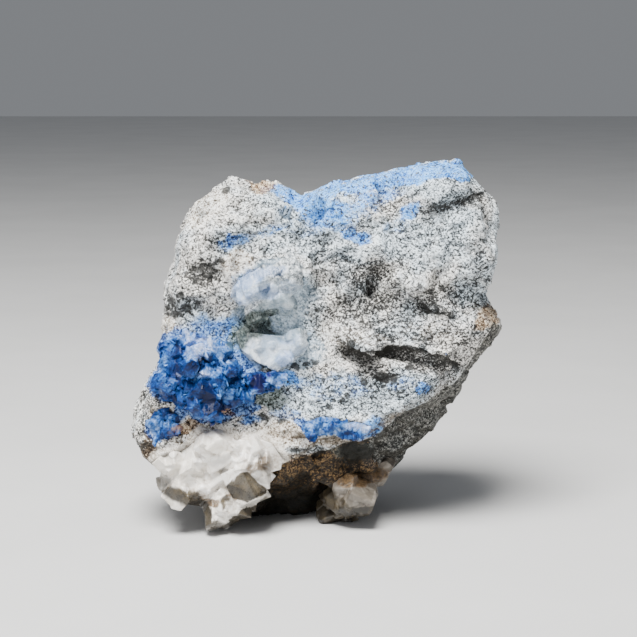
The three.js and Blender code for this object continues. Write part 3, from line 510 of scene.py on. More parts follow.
class Nodes:
    """Builds one material's node tree in short calls"""

    def __init__(self, name):
        self.material = bpy.data.materials.new(name)
        self.material.use_nodes = True
        self.tree = self.material.node_tree
        self.shader = self.tree.nodes["Principled BSDF"]
        coordinates = self.tree.nodes.new("ShaderNodeTexCoord").outputs["Object"]
        self.place = self.vector_math("MULTIPLY", coordinates, (1 / MM,) * 3)

    def link(self, value, socket):
        if isinstance(value, bpy.types.NodeSocket):
            self.tree.links.new(value, socket)
        else:
            socket.default_value = value

    def new(self, kind, **inputs):
        """A new node with its inputs linked or set, an underscore for each blank in a name"""
        return self.fill(self.tree.nodes.new("ShaderNode" + kind), inputs)

    def fill(self, node, inputs):
        for name, value in inputs.items():
            self.link(value, node.inputs[name.replace("_", " ")])
        return node

    def operate(self, kind, operation, a, b):
        node = self.new(kind)
        node.operation = operation
        self.link(a, node.inputs[0])
        self.link(b, node.inputs[1])
        return node.outputs[0]

    def vector_math(self, operation, a, b):
        return self.operate("VectorMath", operation, a, b)

    def math(self, operation, a, b):
        return self.operate("Math", operation, a, b)

    def total(self, first, *others):
        for other in others:
            first = self.math("ADD", first, other)
        return first

    def times(self, value, factor):
        return self.math("MULTIPLY", value, factor)

    def around(self, value, factor):
        """A value from 0 to 1 as a change above and below 0"""
        return self.times(self.math("SUBTRACT", value, 0.5), factor)

    def noise(self, size, detail=3.0, rough=0.6, shift=0.0, stretch=(1, 1, 1)):
        moved = self.vector_math("ADD", self.place, (shift, shift * 0.7, -shift))
        moved = self.vector_math("MULTIPLY", moved, stretch)
        node = self.new("TexNoise", Vector=moved, Scale=1 / size, Detail=detail, Roughness=rough)
        return node.outputs["Fac"]

    def cells(self, size, output="Color", shift=0.0):
        """Cells of a size: their colour's red as a random number, or the distance"""
        moved = self.vector_math("ADD", self.place, (shift, -shift, shift * 0.3))
        node = self.new("TexVoronoi", Vector=moved, Scale=1 / size)
        if output == "Distance":
            return node.outputs["Distance"]
        return self.new("SeparateColor", Color=node.outputs["Color"]).outputs[0]

    def attribute(self, name):
        node = self.new("Attribute")
        node.attribute_name = name
        return node.outputs["Fac"]

    def ramp(self, value, stops):
        """Stops: (position, grey or (r, g, b))"""
        node = self.new("ValToRGB", Fac=value)
        ramp = node.color_ramp
        while len(ramp.elements) < len(stops):
            ramp.elements.new(0.5)
        for element, (position, colour) in zip(ramp.elements, stops):
            element.position = position
            rgb = (colour,) * 3 if isinstance(colour, (int, float)) else colour
            element.color = (*rgb, 1)
        return node.outputs["Color"]

    def mix(self, factor, a, b, mode="MIX"):
        node = self.new("Mix")
        node.data_type = "RGBA"
        node.blend_type = mode
        self.link(factor, node.inputs[0])
        for value, socket in ((a, node.inputs[6]), (b, node.inputs[7])):
            self.link((*value, 1) if isinstance(value, tuple) else value, socket)
        return node.outputs[2]

    def step(self, value, low, high):
        node = self.new("MapRange", Value=value, From_Min=low, From_Max=high)
        node.interpolation_type = "SMOOTHSTEP"
        return node.outputs["Result"]

    def grainy(self, mask, grain, low, high, share=0.6):
        """A mask, or the vertex mask of that name, with its border broken up by grain"""
        mask = self.attribute(mask) if isinstance(mask, str) else mask
        return self.step(self.total(mask, self.around(grain, share)), low, high)

    def lay(self, mask, strength, over, stops=None):
        """Lays a colour over the colour so far where the mask is: over is that colour, or the
        value that picks it from the stops"""
        over = self.ramp(over, stops) if stops else over
        self.colour = self.mix(self.times(mask, strength), self.colour, over)

    def bump(self, height, distance, strength):
        node = self.new("Bump", Height=height, Distance=distance * MM, Strength=strength)
        return node.outputs["Normal"]

    def set(self, **inputs):
        self.fill(self.shader, inputs)
        return self.material


def rock_material():
    m = Nodes("host_rock_sugary")
    grain = m.cells(ROCK_GRAIN)
    grain_fine = m.cells(FINE_GRAIN, shift=FINE_SHIFT)
    mottle = m.noise(0.5, rough=0.65, stretch=BEDDING)
    cloud = m.noise(7.0, detail=4, shift=9.0)
    medium = m.noise(2.4, detail=5, rough=0.65, shift=21.0)
    # The tone takes painted light and shade of the fine relief: darker in creases, lighter on
    # ridges
    value = m.total(
        m.around(grain, 0.68), m.around(grain_fine, 0.58), m.around(mottle, 0.78),
        m.around(medium, 0.62), m.times(m.attribute("dark"), -0.24), m.attribute("painted_relief_light_and_shade"), 0.515,
    )
    tone = m.ramp(value, [
        (0.2, 0.027), (0.35, 0.12), (0.455, 0.335), (0.565, 0.61), (0.75, 0.93),
    ])
    cool = m.total(cloud, m.times(m.attribute("cool"), 0.35))
    tint = m.mix(m.step(cool, 0.4, 0.75), (1.0, 0.97, 0.92), (0.79, 0.91, 1.0))
    m.colour = m.mix(1.0, tone, tint, "MULTIPLY")
    glass = m.grainy("glassy", medium, 0.3, 0.7, 0.7)
    veil = m.total(m.times(medium, 0.75), m.times(grain, 0.2))
    m.lay(glass, 0.7, veil, [
        (0.32, (0.13, 0.19, 0.24)), (0.47, (0.42, 0.54, 0.65)), (0.64, (0.76, 0.86, 0.95)),
    ])
    m.lay(m.grainy("cream", mottle, 0.3, 0.8), 0.8, value, [
        (0.18, (0.1, 0.07, 0.045)), (0.36, (0.38, 0.31, 0.23)), (0.52, (0.7, 0.64, 0.54)),
        (0.72, (0.93, 0.89, 0.82)),
    ])
    film = m.total(m.attribute("sky"), m.around(mottle, 0.6))
    film = m.times(m.grainy(film, medium, 0.15, 0.72, 1.1), m.step(grain, 0.02, 0.3))
    m.lay(film, 0.92, value, [
        (0.24, (0.008, 0.07, 0.3)), (0.43, (0.032, 0.21, 0.64)), (0.6, (0.07, 0.34, 0.9)),
        (0.82, (0.18, 0.51, 1.0)),
    ])
    deep = m.grainy("deep", medium, 0.3, 0.62, 0.8)
    m.lay(deep, 0.94, value, [
        (0.2, (0.003, 0.01, 0.05)), (0.4, (0.008, 0.04, 0.18)), (0.58, (0.03, 0.12, 0.42)),
        (0.8, (0.22, 0.4, 0.76)),
    ])
    m.lay(m.grainy("rust", medium, 0.3, 0.75), 0.85, value, [
        (0.2, (0.02, 0.01, 0.005)), (0.42, (0.13, 0.065, 0.025)), (0.6, (0.38, 0.23, 0.11)),
        (0.8, (0.72, 0.56, 0.36)),
    ])
    # The recess: brown rust and painted shade, near black towards the bottom
    m.lay(m.grainy("recess", mottle, 0.35, 0.65, 0.4), 0.95, value, [
        (0.28, (0.004, 0.003, 0.001)), (0.5, (0.016, 0.008, 0.003)), (0.68, (0.045, 0.022, 0.007)),
        (0.92, (0.22, 0.125, 0.042)),
    ])
    # The flank: dark grey rock and painted shade, as it faces down
    m.lay(m.grainy("flank", mottle, 0.35, 0.65, 0.4), 0.92, value, [
        (0.2, (0.005, 0.005, 0.004)), (0.5, (0.026, 0.025, 0.021)), (0.68, (0.075, 0.073, 0.062)),
        (0.88, (0.3, 0.29, 0.26)),
    ])
    # Greenish-black, partly painted shade in the pit and under the overhang
    m.lay(m.grainy("green_black_and_shade", mottle, 0.3, 0.75), 0.9, value, [
        (0.24, (0.008, 0.014, 0.01)), (0.52, (0.06, 0.09, 0.08)), (0.8, (0.3, 0.36, 0.35)),
    ])
    black = m.times(black_specks(m, mottle, grain), m.step(m.math("MAXIMUM", film, deep), 0.9, 0.3))
    m.lay(black, 0.9, (0.012, 0.012, 0.011))
    # Painted shadow under the ledges, broken up by grain
    crumbs = m.total(m.around(grain, 0.5), m.around(mottle, 1.6))
    crevice = m.step(m.total(m.attribute("crevice"), crumbs), 0.25, 0.6)
    m.lay(crevice, 0.9, (0.022, 0.02, 0.017))
    m.lay(m.grainy("milky", mottle, 0.2, 0.85, 0.9), 0.85, value, [
        (0.2, (0.5, 0.44, 0.36)), (0.6, (0.86, 0.82, 0.76)),
    ])
    # Painted shadow: near black where shade falls under the rock
    m.lay(m.attribute("painted_shadow"), 0.96, (0.008, 0.008, 0.006))
    # Painted shade in the hollows
    m.lay(m.attribute("painted_cavity_shade"), 0.62, (0.035, 0.032, 0.028))
    height = m.math("SUBTRACT", m.total(m.times(grain, 0.6), mottle), m.times(black, 0.5))
    return m.set(
        Base_Color=m.colour, Roughness=m.total(m.times(grain_fine, 0.4), 0.42),
        Normal=m.bump(height, 0.13, 0.7), Specular_IOR_Level=0.25,
    )


def black_specks(m, mottle, grain):
    """Black mineral specks, painted shade along the ledges among them: small cells and blots, more
    of them where the rock is dark
    """
    spot = m.cells(0.55, "Distance", shift=2.0)
    chosen = m.cells(0.55, shift=2.0)
    specks = m.attribute("specks")
    density = m.total(m.times(specks, 0.32), 0.015)
    speck = m.times(m.step(spot, 0.42, 0.3), m.math("LESS_THAN", chosen, density))
    clump = m.noise(0.8, detail=4, rough=0.65, shift=33.0)
    blot = m.step(m.total(clump, m.times(specks, 0.24)), 0.68, 0.74)
    spots = m.total(m.attribute("spots"), m.around(mottle, 1.8), m.around(grain, 0.5))
    return m.math("MAXIMUM", m.math("MAXIMUM", speck, blot), m.step(spots, 0.45, 0.62))


def quartz_material(name, stops, dirt, seed, subsurface, rough, transmission=0.0, sugary=False):
    m = Nodes(name)
    veil = m.noise(2.6, detail=5, shift=seed)
    fine = m.noise(0.35, shift=seed + 3)
    value = m.total(m.times(veil, 0.75), m.times(m.attribute("facet"), 0.3))
    crack = m.times(m.attribute("crack"), m.step(veil, 0.4, 0.6))
    m.colour = m.ramp(value, stops)
    m.lay(crack, 0.45, dirt)
    m.lay(m.grainy("rust", fine, 0.3, 0.8, 0.7), 0.88, fine, [
        (0.35, (0.03, 0.016, 0.006)), (0.65, (0.19, 0.112, 0.046)),
    ])
    # Smoky brown, and painted shade where the quartz lies in shade near the ground
    m.lay(m.grainy("smoky_and_shade", veil, 0.15, 0.75, 0.5), 0.97, value, [
        (0.38, (0.012, 0.009, 0.005)), (0.54, (0.036, 0.027, 0.014)), (0.66, (0.08, 0.061, 0.033)),
        (0.8, (0.17, 0.132, 0.076)),
    ])
    if sugary:
        grain = m.total(
            m.around(m.cells(ROCK_GRAIN), 0.6),
            m.around(m.cells(FINE_GRAIN, shift=FINE_SHIFT), 0.5),
            m.around(fine, 0.5), m.around(veil, 0.5), 0.5,
        )
        m.lay(m.grainy("sugary", fine, 0.15, 0.85, 0.8), 0.9, grain, [
            (0.12, (0.03, 0.032, 0.035)), (0.28, (0.12, 0.135, 0.14)), (0.42, (0.3, 0.33, 0.34)),
            (0.58, (0.54, 0.58, 0.6)), (0.84, (0.85, 0.89, 0.92)),
        ])
    m.lay(m.grainy("sky", veil, 0.25, 0.8), 0.6, value, [
        (0.42, (0.15, 0.26, 0.52)), (0.58, (0.36, 0.5, 0.82)), (0.72, (0.75, 0.83, 0.95)),
    ])
    m.lay(m.grainy("slate", veil, 0.25, 0.8), 0.65, value, [
        (0.4, (0.1, 0.15, 0.17)), (0.56, (0.26, 0.34, 0.38)), (0.74, (0.55, 0.63, 0.66)),
    ])
    # Greenish-black, partly painted shade in the pocket's pit
    m.lay(m.grainy("green_black_and_shade", veil, 0.3, 0.8), 0.92, fine, [
        (0.38, (0.012, 0.02, 0.015)), (0.56, (0.06, 0.085, 0.075)), (0.7, (0.3, 0.36, 0.34)),
    ])
    return m.set(
        Base_Color=m.colour, Roughness=m.total(m.times(fine, 0.3), rough - 0.15),
        Normal=m.bump(m.total(fine, m.times(veil, 0.8)), 0.14, 0.5), IOR=1.54,
        Subsurface_Weight=subsurface, Subsurface_Radius=(1.0, 0.9, 0.8), Subsurface_Scale=0.0007,
        Transmission_Weight=transmission,
    )


def linarite_material():
    m = Nodes("linarite_glassy")
    veil = m.noise(1.6, detail=4, shift=3.0)
    fine = m.noise(0.4, shift=8.0)
    broad = m.noise(3.2, shift=14.0)
    value = m.total(
        m.times(m.attribute("facet"), 0.24), m.times(veil, 0.55), m.around(broad, 0.5),
        m.around(m.cells(0.25), 0.16), m.attribute("tone"),
    )
    m.colour = m.ramp(value, [
        (0.16, (0.002, 0.006, 0.032)), (0.32, (0.004, 0.022, 0.11)), (0.44, (0.01, 0.062, 0.25)),
        (0.56, (0.05, 0.165, 0.42)), (0.7, (0.23, 0.37, 0.7)), (0.86, (0.57, 0.67, 0.92)),
    ])
    m.lay(m.grainy("violet", fine, 0.3, 0.7, 0.5), 0.8, value, [
        (0.3, (0.005, 0.003, 0.035)), (0.5, (0.022, 0.016, 0.17)), (0.8, (0.25, 0.22, 0.62)),
    ])
    # Greenish-black, partly painted shade in the pocket's pit
    m.lay(m.grainy("green_black_and_shade", veil, 0.3, 0.8), 0.8, (0.05, 0.08, 0.07))
    m.lay(m.grainy("rust", fine, 0.35, 0.8, 0.7), 0.8, (0.3, 0.17, 0.07))
    m.lay(m.attribute("crack"), 0.4, (0.003, 0.008, 0.05))
    return m.set(
        Base_Color=m.colour, Roughness=m.total(m.times(fine, 0.4), 0.2),
        Normal=m.bump(m.total(fine, veil), 0.1, 0.6), IOR=1.5, Specular_IOR_Level=0.22,
        Subsurface_Weight=0.12, Subsurface_Radius=(0.2, 0.5, 1.0), Subsurface_Scale=0.0008,
    )


ROCK = rock_material()
MILKY = quartz_material("milky_quartz", [
    (0.3, (0.6, 0.56, 0.49)), (0.5, (0.84, 0.8, 0.74)), (0.7, (0.93, 0.91, 0.88)),
], (0.34, 0.25, 0.15), seed=2.0, subsurface=0.06, rough=0.3)
# The right foot's quartz: grey and brown, its colours darkened as painted shade
BROWN_QUARTZ_IN_SHADE = quartz_material("brown_quartz", [
    (0.34, (0.07, 0.055, 0.042)), (0.5, (0.2, 0.175, 0.145)), (0.62, (0.3, 0.27, 0.235)),
    (0.78, (0.45, 0.42, 0.38)),
], (0.05, 0.035, 0.02), seed=12.0, subsurface=0.05, rough=0.4)
CLEAR_QUARTZ = quartz_material("clear_quartz", [
    (0.36, (0.26, 0.37, 0.52)), (0.52, (0.5, 0.62, 0.78)), (0.72, (0.82, 0.89, 0.96)),
], (0.12, 0.16, 0.2), seed=22.0, subsurface=0.15, rough=0.3, transmission=0.15, sugary=True)
LINARITE = linarite_material()


# The host rock
def facing_of(points, normals):
    """How much each point faces the photograph's camera, 0 to 1, and is not on the far side"""
    return smooth_step(-0.3, 0.15, normals @ TO_CAMERA) * smooth_step(11, 3, points[:, 1])


def near_crystals(points, crystals, reach):
    """1 at a crystal group, fading to 0 at a distance of reach from it"""
    cloud = np.concatenate([points_of(mesh)[::3] for mesh in crystals])
    tree = KDTree(len(cloud))
    for i, place in enumerate(cloud):
        tree.insert(place, i)
    tree.balance()
    distances = np.array([tree.find(p)[2] for p in points])
    return smooth_step(reach, 0.3, distances)


def build_rock(crystals):
    mesh, points, normals = fine_skin(
        copy_of("matrix_rock"), ROCK_VOXEL, ROCK_SMOOTHING, ROCK_SMOOTHING)
    front = facing_of(points, normals)
    rise = np.zeros(len(points))
    for cell, height, channel, stretch in ROCK_FACETS:
        rise += height * facets(points * np.array(stretch), cell, channel)[0]
    rise += sum(height * fractal(points, *noise) for height, *noise in ROCK_BUMPS)
    px, py = shaken_pixels(points, LINE_SHAKE)
    rise -= (line_depth(px, py, CREVICES) + under_ledges(px, py, LEDGES)) * front
    near = near_crystals(points, crystals, CLOSE_REACH)
    rise = rise * (1 - 0.5 * near) + CLOSE_SWELL * near
    points = points + normals * rise[:, None]
    points[:, 2] = np.maximum(points[:, 2], 0.0)
    set_points(mesh, points)
    detail = FAR_SIDE_DETAIL + (1 - FAR_SIDE_DETAIL) * front
    mesh = decimated(mesh, ROCK_TRIANGLES, detail)
    shade_rock(mesh, crystals)
    mesh.shade_smooth()
    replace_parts(new_piece("matrix_rock_fine", mesh, ROCK), "matrix_rock")


def shade_rock(mesh, crystals):
    """Writes the rock's colour masks on its vertices, painted light and shade among them: what
    the photograph shows on the front, and a few areas of each colour on the far side"""
    points = points_of(mesh)
    edges = edges_of(mesh)
    normals = normals_of(mesh)
    height = points[:, 2]
    front = facing_of(points, normals)
    back = 1 - front
    px, py = shaken_pixels(points, MASK_SHAKE)
    ex, ey = shaken_pixels(points, BORDER_SHAKE)
    patch = fractal(points, 9.0, 90, 4)
    patch_other = fractal(points, 7.0, 110, 4)
    # Downward-facing surfaces low on the rock, which get painted shade below
    under = smooth_step(0.1, 0.6, -normals[:, 2]) * smooth_step(26, 16, height)
    not_far = smooth_step(14, 8, points[:, 1])
    recess = inside_area(ex, ey, RECESS_AREA, 2.0) * not_far
    # Surfaces facing down and to the right: painted shade by how they face
    flank = smooth_step(0.3, 0.6, normals @ FLANK_FACING)
    flank *= smooth_step(36, 30, height) * smooth_step(4, 9, points[:, 0]) * 0.7
    hollow = np.sum((smoothed(points, edges, 30) - points) * normals, axis=1)
    fine = np.sum((smoothed(points, edges, 3) - points) * normals, axis=1)
    far = {
        "sky": 0.8 * smooth_step(44, 56, height) * smooth_step(-0.1, 0.4, patch)
               + 0.7 * smooth_step(0.35, 0.6, patch_other),
        "deep": 0.8 * smooth_step(0.55, 0.75, patch_other),
        "dark": 0.7 * smooth_step(0.1, 0.5, -patch),
        "specks": 0.6 * smooth_step(0.2, 0.5, -patch_other),
        "rust": 0.9 * smooth_step(22, 6, height) * smooth_step(0.0, 0.5, patch),
        "cream": 0.7 * smooth_step(0.0, 0.4, -patch_other),
    }
    tables = {
        "sky": SKY_BLUE, "deep": DEEP_BLUE, "dark": DARK_ROCK, "specks": BLACK_SPECKS, "rust": RUST,
        "cream": CREAM, "glassy": GLASSY, "cool": COOL, "green_black_and_shade": GREEN_BLACK_AND_SHADE,
    }
    masks = {
        name: front * mask_of(px, py, table, DEEP_EDGE if name == "deep" else SOFT_EDGE)
              + back * far.get(name, 0)
        for name, table in tables.items()
    }
    # Painted shade on the downward faces, in rust colour
    masks["rust"] = np.maximum(masks["rust"], 0.6 * under)
    masks["recess"] = recess
    masks["flank"] = np.maximum(flank * back, inside_area(ex, ey, FLANK_AREA, 2.0) * not_far)
    # Painted shadow under the ledges on the front
    masks["crevice"] = front * under_ledges(*shaken_pixels(points, LINE_SHAKE), SHADED)
    masks["spots"] = front * mask_of(ex, ey, BLACK_SPOTS)
    masks["milky"] = near_crystals(points, crystals[:1], MILKY_REACH) * (1 - recess)
    # Painted shadow on the front and in the recess, and on the rock's downward faces
    painted_shadow = np.maximum(front, recess) * mask_of(ex, ey, PAINTED_SHADOW_SPOTS)
    masks["painted_shadow"] = np.maximum(painted_shadow, 0.75 * under)
    # Painted shade: darker in the broad hollows
    masks["painted_cavity_shade"] = smooth_step(0.12, 0.7, hollow)
    # Painted light and shade of the fine relief: darker in creases and hollows, lighter on ridges
    masks["painted_relief_light_and_shade"] = np.clip(-fine * 0.5 - hollow * 0.25, -0.1, 0.08)
    for name, values in masks.items():
        set_attribute(mesh, name, values)


# Crystal shapes
def convex_mesh(bm, corners):
    verts = [bm.verts.new(corner) for corner in corners]
    hull = bmesh.ops.convex_hull(bm, input=verts)
    unused = hull["geom_interior"] + hull["geom_unused"]
    loose = {v for v in unused if isinstance(v, bmesh.types.BMVert)}
    bmesh.ops.delete(bm, geom=list(loose), context="VERTS")


def block_corners(size, random):
    """A broken, skewed block with some of its corners off"""
    sides = size * random.uniform(*BLOCK_SIDES, 3)
    skew = random.uniform(-BLOCK_SKEW, BLOCK_SKEW, 2)
    corners = []
    for i in range(8):
        corner = np.array([(i & 1) * 2 - 1, (i >> 1 & 1) * 2 - 1, (i >> 2 & 1) * 2 - 1.0]) * sides
        corner[:2] += skew * corner[2]
        if random.random() < CORNER_OFF:
            corners += [corner * np.where(np.arange(3) == k, CORNER_CUT, 1) for k in range(3)]
        else:
            corners.append(corner)
    return np.array(corners)


def blade_corners(length, random):
    """A flat blade with slanted ends"""
    width = length * random.uniform(*BLADE_WIDTHS)
    thick = length * random.uniform(*BLADE_THICKNESSES)
    corners = []
    for end in (-1, 1):
        for side in (-1, 1):
            tip = end * length * (0.5 + 0.13 * side)
            corners.append((tip, side * width / 2, thick / 2))
            corners.append((tip * 0.82, side * width / 2, -thick / 2))
    return np.array(corners)


def random_rotation(random):
    return np.array(Euler(random.uniform(0, 2 * math.pi, 3)).to_matrix())


def family_rotation(random):
    """One of three crystal directions, a little off"""
    angles = np.array(CRYSTAL_TURNS[random.integers(len(CRYSTAL_TURNS))])
    angles = angles + random.uniform(-TURN_SPREAD, TURN_SPREAD, 3)
    return np.array(Euler(np.radians(angles)).to_matrix())


# Where on a mesh crystals may stand: a weight for each face
def everywhere(centres, normals):
    return np.ones(len(centres))


def on_front(centres, normals):
    return np.maximum(normals @ TO_CAMERA, 0.0)


def mostly_on_front(centres, normals):
    return smooth_step(-0.1, 0.4, normals @ TO_CAMERA) + 0.05


def at_quartz_edges(centres, normals):
    covered = mask_of(*photo_pixels(centres), QUARTZ_EDGES)
    return covered * smooth_step(-0.4, 0.2, normals @ TO_CAMERA) + 0.02


def surface_spots(mesh, count, random, accept):
    """Random spots on a mesh's faces with their normals, weighted by accept"""
    centres = np.array([p.center for p in mesh.polygons]) / MM
    normals = np.array([p.normal for p in mesh.polygons])
    areas = np.array([p.area for p in mesh.polygons])
    areas = areas * accept(centres, normals)
    picked = random.choice(len(centres), count, p=areas / areas.sum())
    spots = []
    for i in picked:
        corners = [np.array(mesh.vertices[v].co) / MM for v in mesh.polygons[i].vertices]
        weights = random.dirichlet([1.0] * len(corners))
        spots.append((sum(w * c for w, c in zip(weights, corners)), normals[i]))
    return spots


def add_placed_blocks(bm, source, placed, random):
    """Single blocks at places in the photograph: each is (x, y, size)"""
    spots = surface_spots(source, CANDIDATE_SPOTS, random, on_front)
    places = np.array([spot for spot, _ in spots])
    px, py = photo_pixels(places)
    for x, y, size in placed:
        away = np.hypot(px - x, py - y)
        close = np.where(away < away.min() + 2)[0]
        spot = places[close[np.argmax(places[close] @ TO_CAMERA)]]
        scale = (DISTANCE - (spot - TARGET) @ TO_CAMERA) / FOCAL_PIXELS
        there = photo_pixels(spot[None])
        spot = spot + np.array([1.0, 0, 0]) * (x - there[0][0]) * scale
        spot = spot - CAMERA_UP * (y - there[1][0]) * scale
        corners = block_corners(size, random) @ family_rotation(random).T
        convex_mesh(bm, (corners + spot - TO_CAMERA * size * PLACED_SINK) * MM)


def add_extra_blocks(bm, source, count, sizes, random, accept, families, area):
    """Many small blocks, turned as the crystal families are or at random, inside an area"""
    for spot, normal in surface_spots(source, count, random, accept):
        size = random.uniform(*sizes)
        turn = family_rotation(random) if families else random_rotation(random)
        corners = block_corners(size, random) @ turn.T
        corners = corners + spot - normal * size * EXTRA_SINK
        corners[:, 2] = np.maximum(corners[:, 2], 0.0)
        if area and inside_area(*photo_pixels(corners), area, 1.5).min() < 0.5:
            continue
        convex_mesh(bm, corners * MM)


def build_mass(node, material, voxel, layers, seed, extra, sizes, families=False,
               accept=everywhere, area=None, placed=(), trim=None):
    """A fine crystal mass: the node's mesh with placed and extra blocks on it, fused and
    faceted. layers: (size, height) of the facets. trim: a function that corrects the points"""
    random = np.random.default_rng(seed)
    source = copy_of(node)
    bm = bmesh.new()
    bm.from_mesh(source)
    if placed:
        add_placed_blocks(bm, source, placed, random)
    add_extra_blocks(bm, source, extra, sizes, random, accept, families, area)
    bm.to_mesh(source)
    bm.free()
    mesh, points, normals = fine_skin(source, voxel, 1, 2)
    rise = np.zeros(len(points))
    border = np.ones(len(points))
    own = np.zeros(len(points))
    for i, (cell, height) in enumerate(layers):
        plane, edge_distance, number = facets(points, cell, MASS_CHANNEL + 20 * i + seed)
        rise += height * plane
        border = np.minimum(border, edge_distance * cell)
        own += number / len(layers)
    points = points + normals * rise[:, None]
    if trim:
        trim(points, normals)
    points[:, 2] = np.maximum(points[:, 2], 0.0)
    set_points(mesh, points)
    set_attribute(mesh, "facet", own)
    set_attribute(mesh, "crack", smooth_step(0.22, 0.03, border))
    mesh = decimated(mesh, MASS_TRIANGLES)
    shade_mass(mesh)
    mesh.shade_smooth()
    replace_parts(new_piece(node + "_fine", mesh, material), node)
    return mesh


def build_blades(name, masses, count, length, seed):
    """Small blades that stand on crystal masses, in one mesh"""
    random = np.random.default_rng(seed)
    bm = bmesh.new()
    tones = []
    for mesh, share in masses:
        for spot, _ in surface_spots(mesh, int(count * share), random, mostly_on_front):
            size = length * random.uniform(*BLADE_SIZES)
            corners = blade_corners(size, random) @ random_rotation(random).T + spot
            corners[:, 2] = np.maximum(corners[:, 2], 0.05)
            before = len(bm.verts)
            convex_mesh(bm, corners * MM)
            tones += [random.uniform(0, 1)] * (len(bm.verts) - before)
    mesh = bpy.data.meshes.new(name)
    bm.to_mesh(mesh)
    bm.free()
    set_attribute(mesh, "facet", np.array(tones))
    set_attribute(mesh, "crack", np.zeros(len(tones)))
    shade_mass(mesh)
    return mesh


PALE_CRYSTALS = [
    (200, 346, 17, 15, -20, 0.95), (254, 395, 8, 5, 0.8), (226, 352, 14, 12, 0.5),
    (180, 330, 14, 8, -20, 0.45), (212, 372, 14, 6, -10, 0.5), (152, 428, 6, 16, 0.5),
    (228, 392, 10, 8, 0.35), (368, 430, 11, 9, 0.9), (346, 428, 10, 6, 0.7), (195, 405, 5, 4, 0.5),
    (284, 380, 17, 7, 0.75), (322, 425, 36, 10, 0.5), (240, 410, 10, 8, 0.3), (160, 372, 8, 8, 0.3),
    (160, 430, 15, 16, 0.55), (212, 372, 16, 5, 0.45), (200, 330, 24, 10, -10, 0.5),
    (224, 397, 10, 8, 0.4),
]
VIOLET_CRYSTALS = [
    (259, 384, 9, 9, 0.95), (270, 374, 4, 3, 0.7),
]
NAVY_CRYSTALS = [
    (202, 394, 13, 12, 1.0), (192, 366, 7, 6, 0.8), (258, 384, 8, 8, 0.6), (212, 408, 16, 8, 0.8),
    (232, 408, 14, 8, 0.5), (176, 372, 8, 8, 0.4), (165, 434, 8, 8, 0.5), (328, 426, 6, 4, 0.3),
]
# Smoky brown quartz, and painted shade on the quartz in the notch and at the feet
SMOKY_AND_SHADED_QUARTZ = [
    (322, 506, 16, 24, 1.0), (345, 521, 30, 13, 1.0), (366, 511, 12, 4, -10, 0.8),
    (345, 504, 5, 10, -20, 0.6), (184, 498, 21, 8, 14, 0.75), (200, 510, 9, 15, -25, 1.0),
    (206, 514, 6, 10, -15, 0.7), (245, 518, 16, 12, -20, 1.0), (215, 526, 20, 5, 0.6),
    (162, 484, 9, 14, -30, 0.5), (226, 502, 4, 10, 20, 0.6), (258, 500, 14, 6, -20, 0.6),
    (352, 513, 20, 4, 0.7),
]
# Single crystals of the quartz: (share of brown and painted shade, closed line)
SMOKY_FACES = [
    (0.88, [(226, 487), (238, 474), (247, 472), (257, 482), (267, 488), (266, 493), (249, 503),
            (232, 498)]),
    (0.4, [(246, 462), (272, 460), (270, 487), (257, 482), (247, 472)]),
    (1.0, [(228, 520), (247, 504), (262, 500), (256, 512), (250, 526), (236, 526)]),
]
# Faces that keep only a light share of the brown and painted shade
PALE_FACES = [
    [(224, 500), (248, 505), (231, 519), (227, 517)],
    [(247, 503), (268, 492), (257, 505), (247, 508)],
    [(343, 489), (358, 487), (375, 490), (372, 503), (350, 508), (344, 500)],
]
QUARTZ_RUST = [
    (213, 503, 7, 5, 0.95), (236, 490, 12, 8, 0.6), (190, 496, 22, 8, 15, 0.5),
    (258, 466, 14, 6, -30, 0.5), (160, 478, 8, 14, -20, 0.35), (222, 470, 12, 5, -20, 0.3),
    (205, 430, 24, 5, -8, 0.6), (270, 462, 14, 12, 0.5), (178, 436, 18, 4, 0.4),
    (360, 477, 26, 10, -10, 0.95), (382, 474, 6, 10, 0.3), (246, 470, 10, 6, 0.4),
    (228, 499, 13, 4, -15, 0.6), (203, 500, 6, 5, 0.6),
]
POCKET_BLUE = [
    (248, 277, 20, 9, -20, 1.0), (266, 292, 16, 10, 0.6), (285, 358, 10, 7, 0.8),
    (288, 337, 12, 9, 0.6), (240, 296, 12, 12, 0.6), (276, 272, 14, 6, 0.6),
    (252, 352, 12, 10, 0.35),
]
POCKET_SLATE = [
    (270, 306, 22, 7, -22, 0.95), (294, 312, 16, 14, 0.7), (286, 328, 18, 14, 0.85),
    (278, 284, 5, 8, 20, 0.5), (262, 296, 10, 5, -20, 0.4), (296, 292, 5, 8, 30, 0.4),
    (275, 352, 18, 5, -10, 0.3),
]
POCKET_CLEAR = [
    (252, 288, 20, 14, -20, 0.55), (284, 292, 22, 13, -10, 0.5), (280, 320, 22, 20, 0.45),
    (262, 350, 34, 20, 0.7), (294, 345, 16, 12, 0.55),
]
# Greenish-black in the pocket, with painted shade in its pit
POCKET_GREEN_BLACK_AND_SHADE = [
    (257, 325, 16, 16, -20, 0.9), (238, 340, 12, 14, 30, 0.75), (270, 316, 12, 8, -30, 0.75),
    (276, 333, 10, 8, 0.5),
]


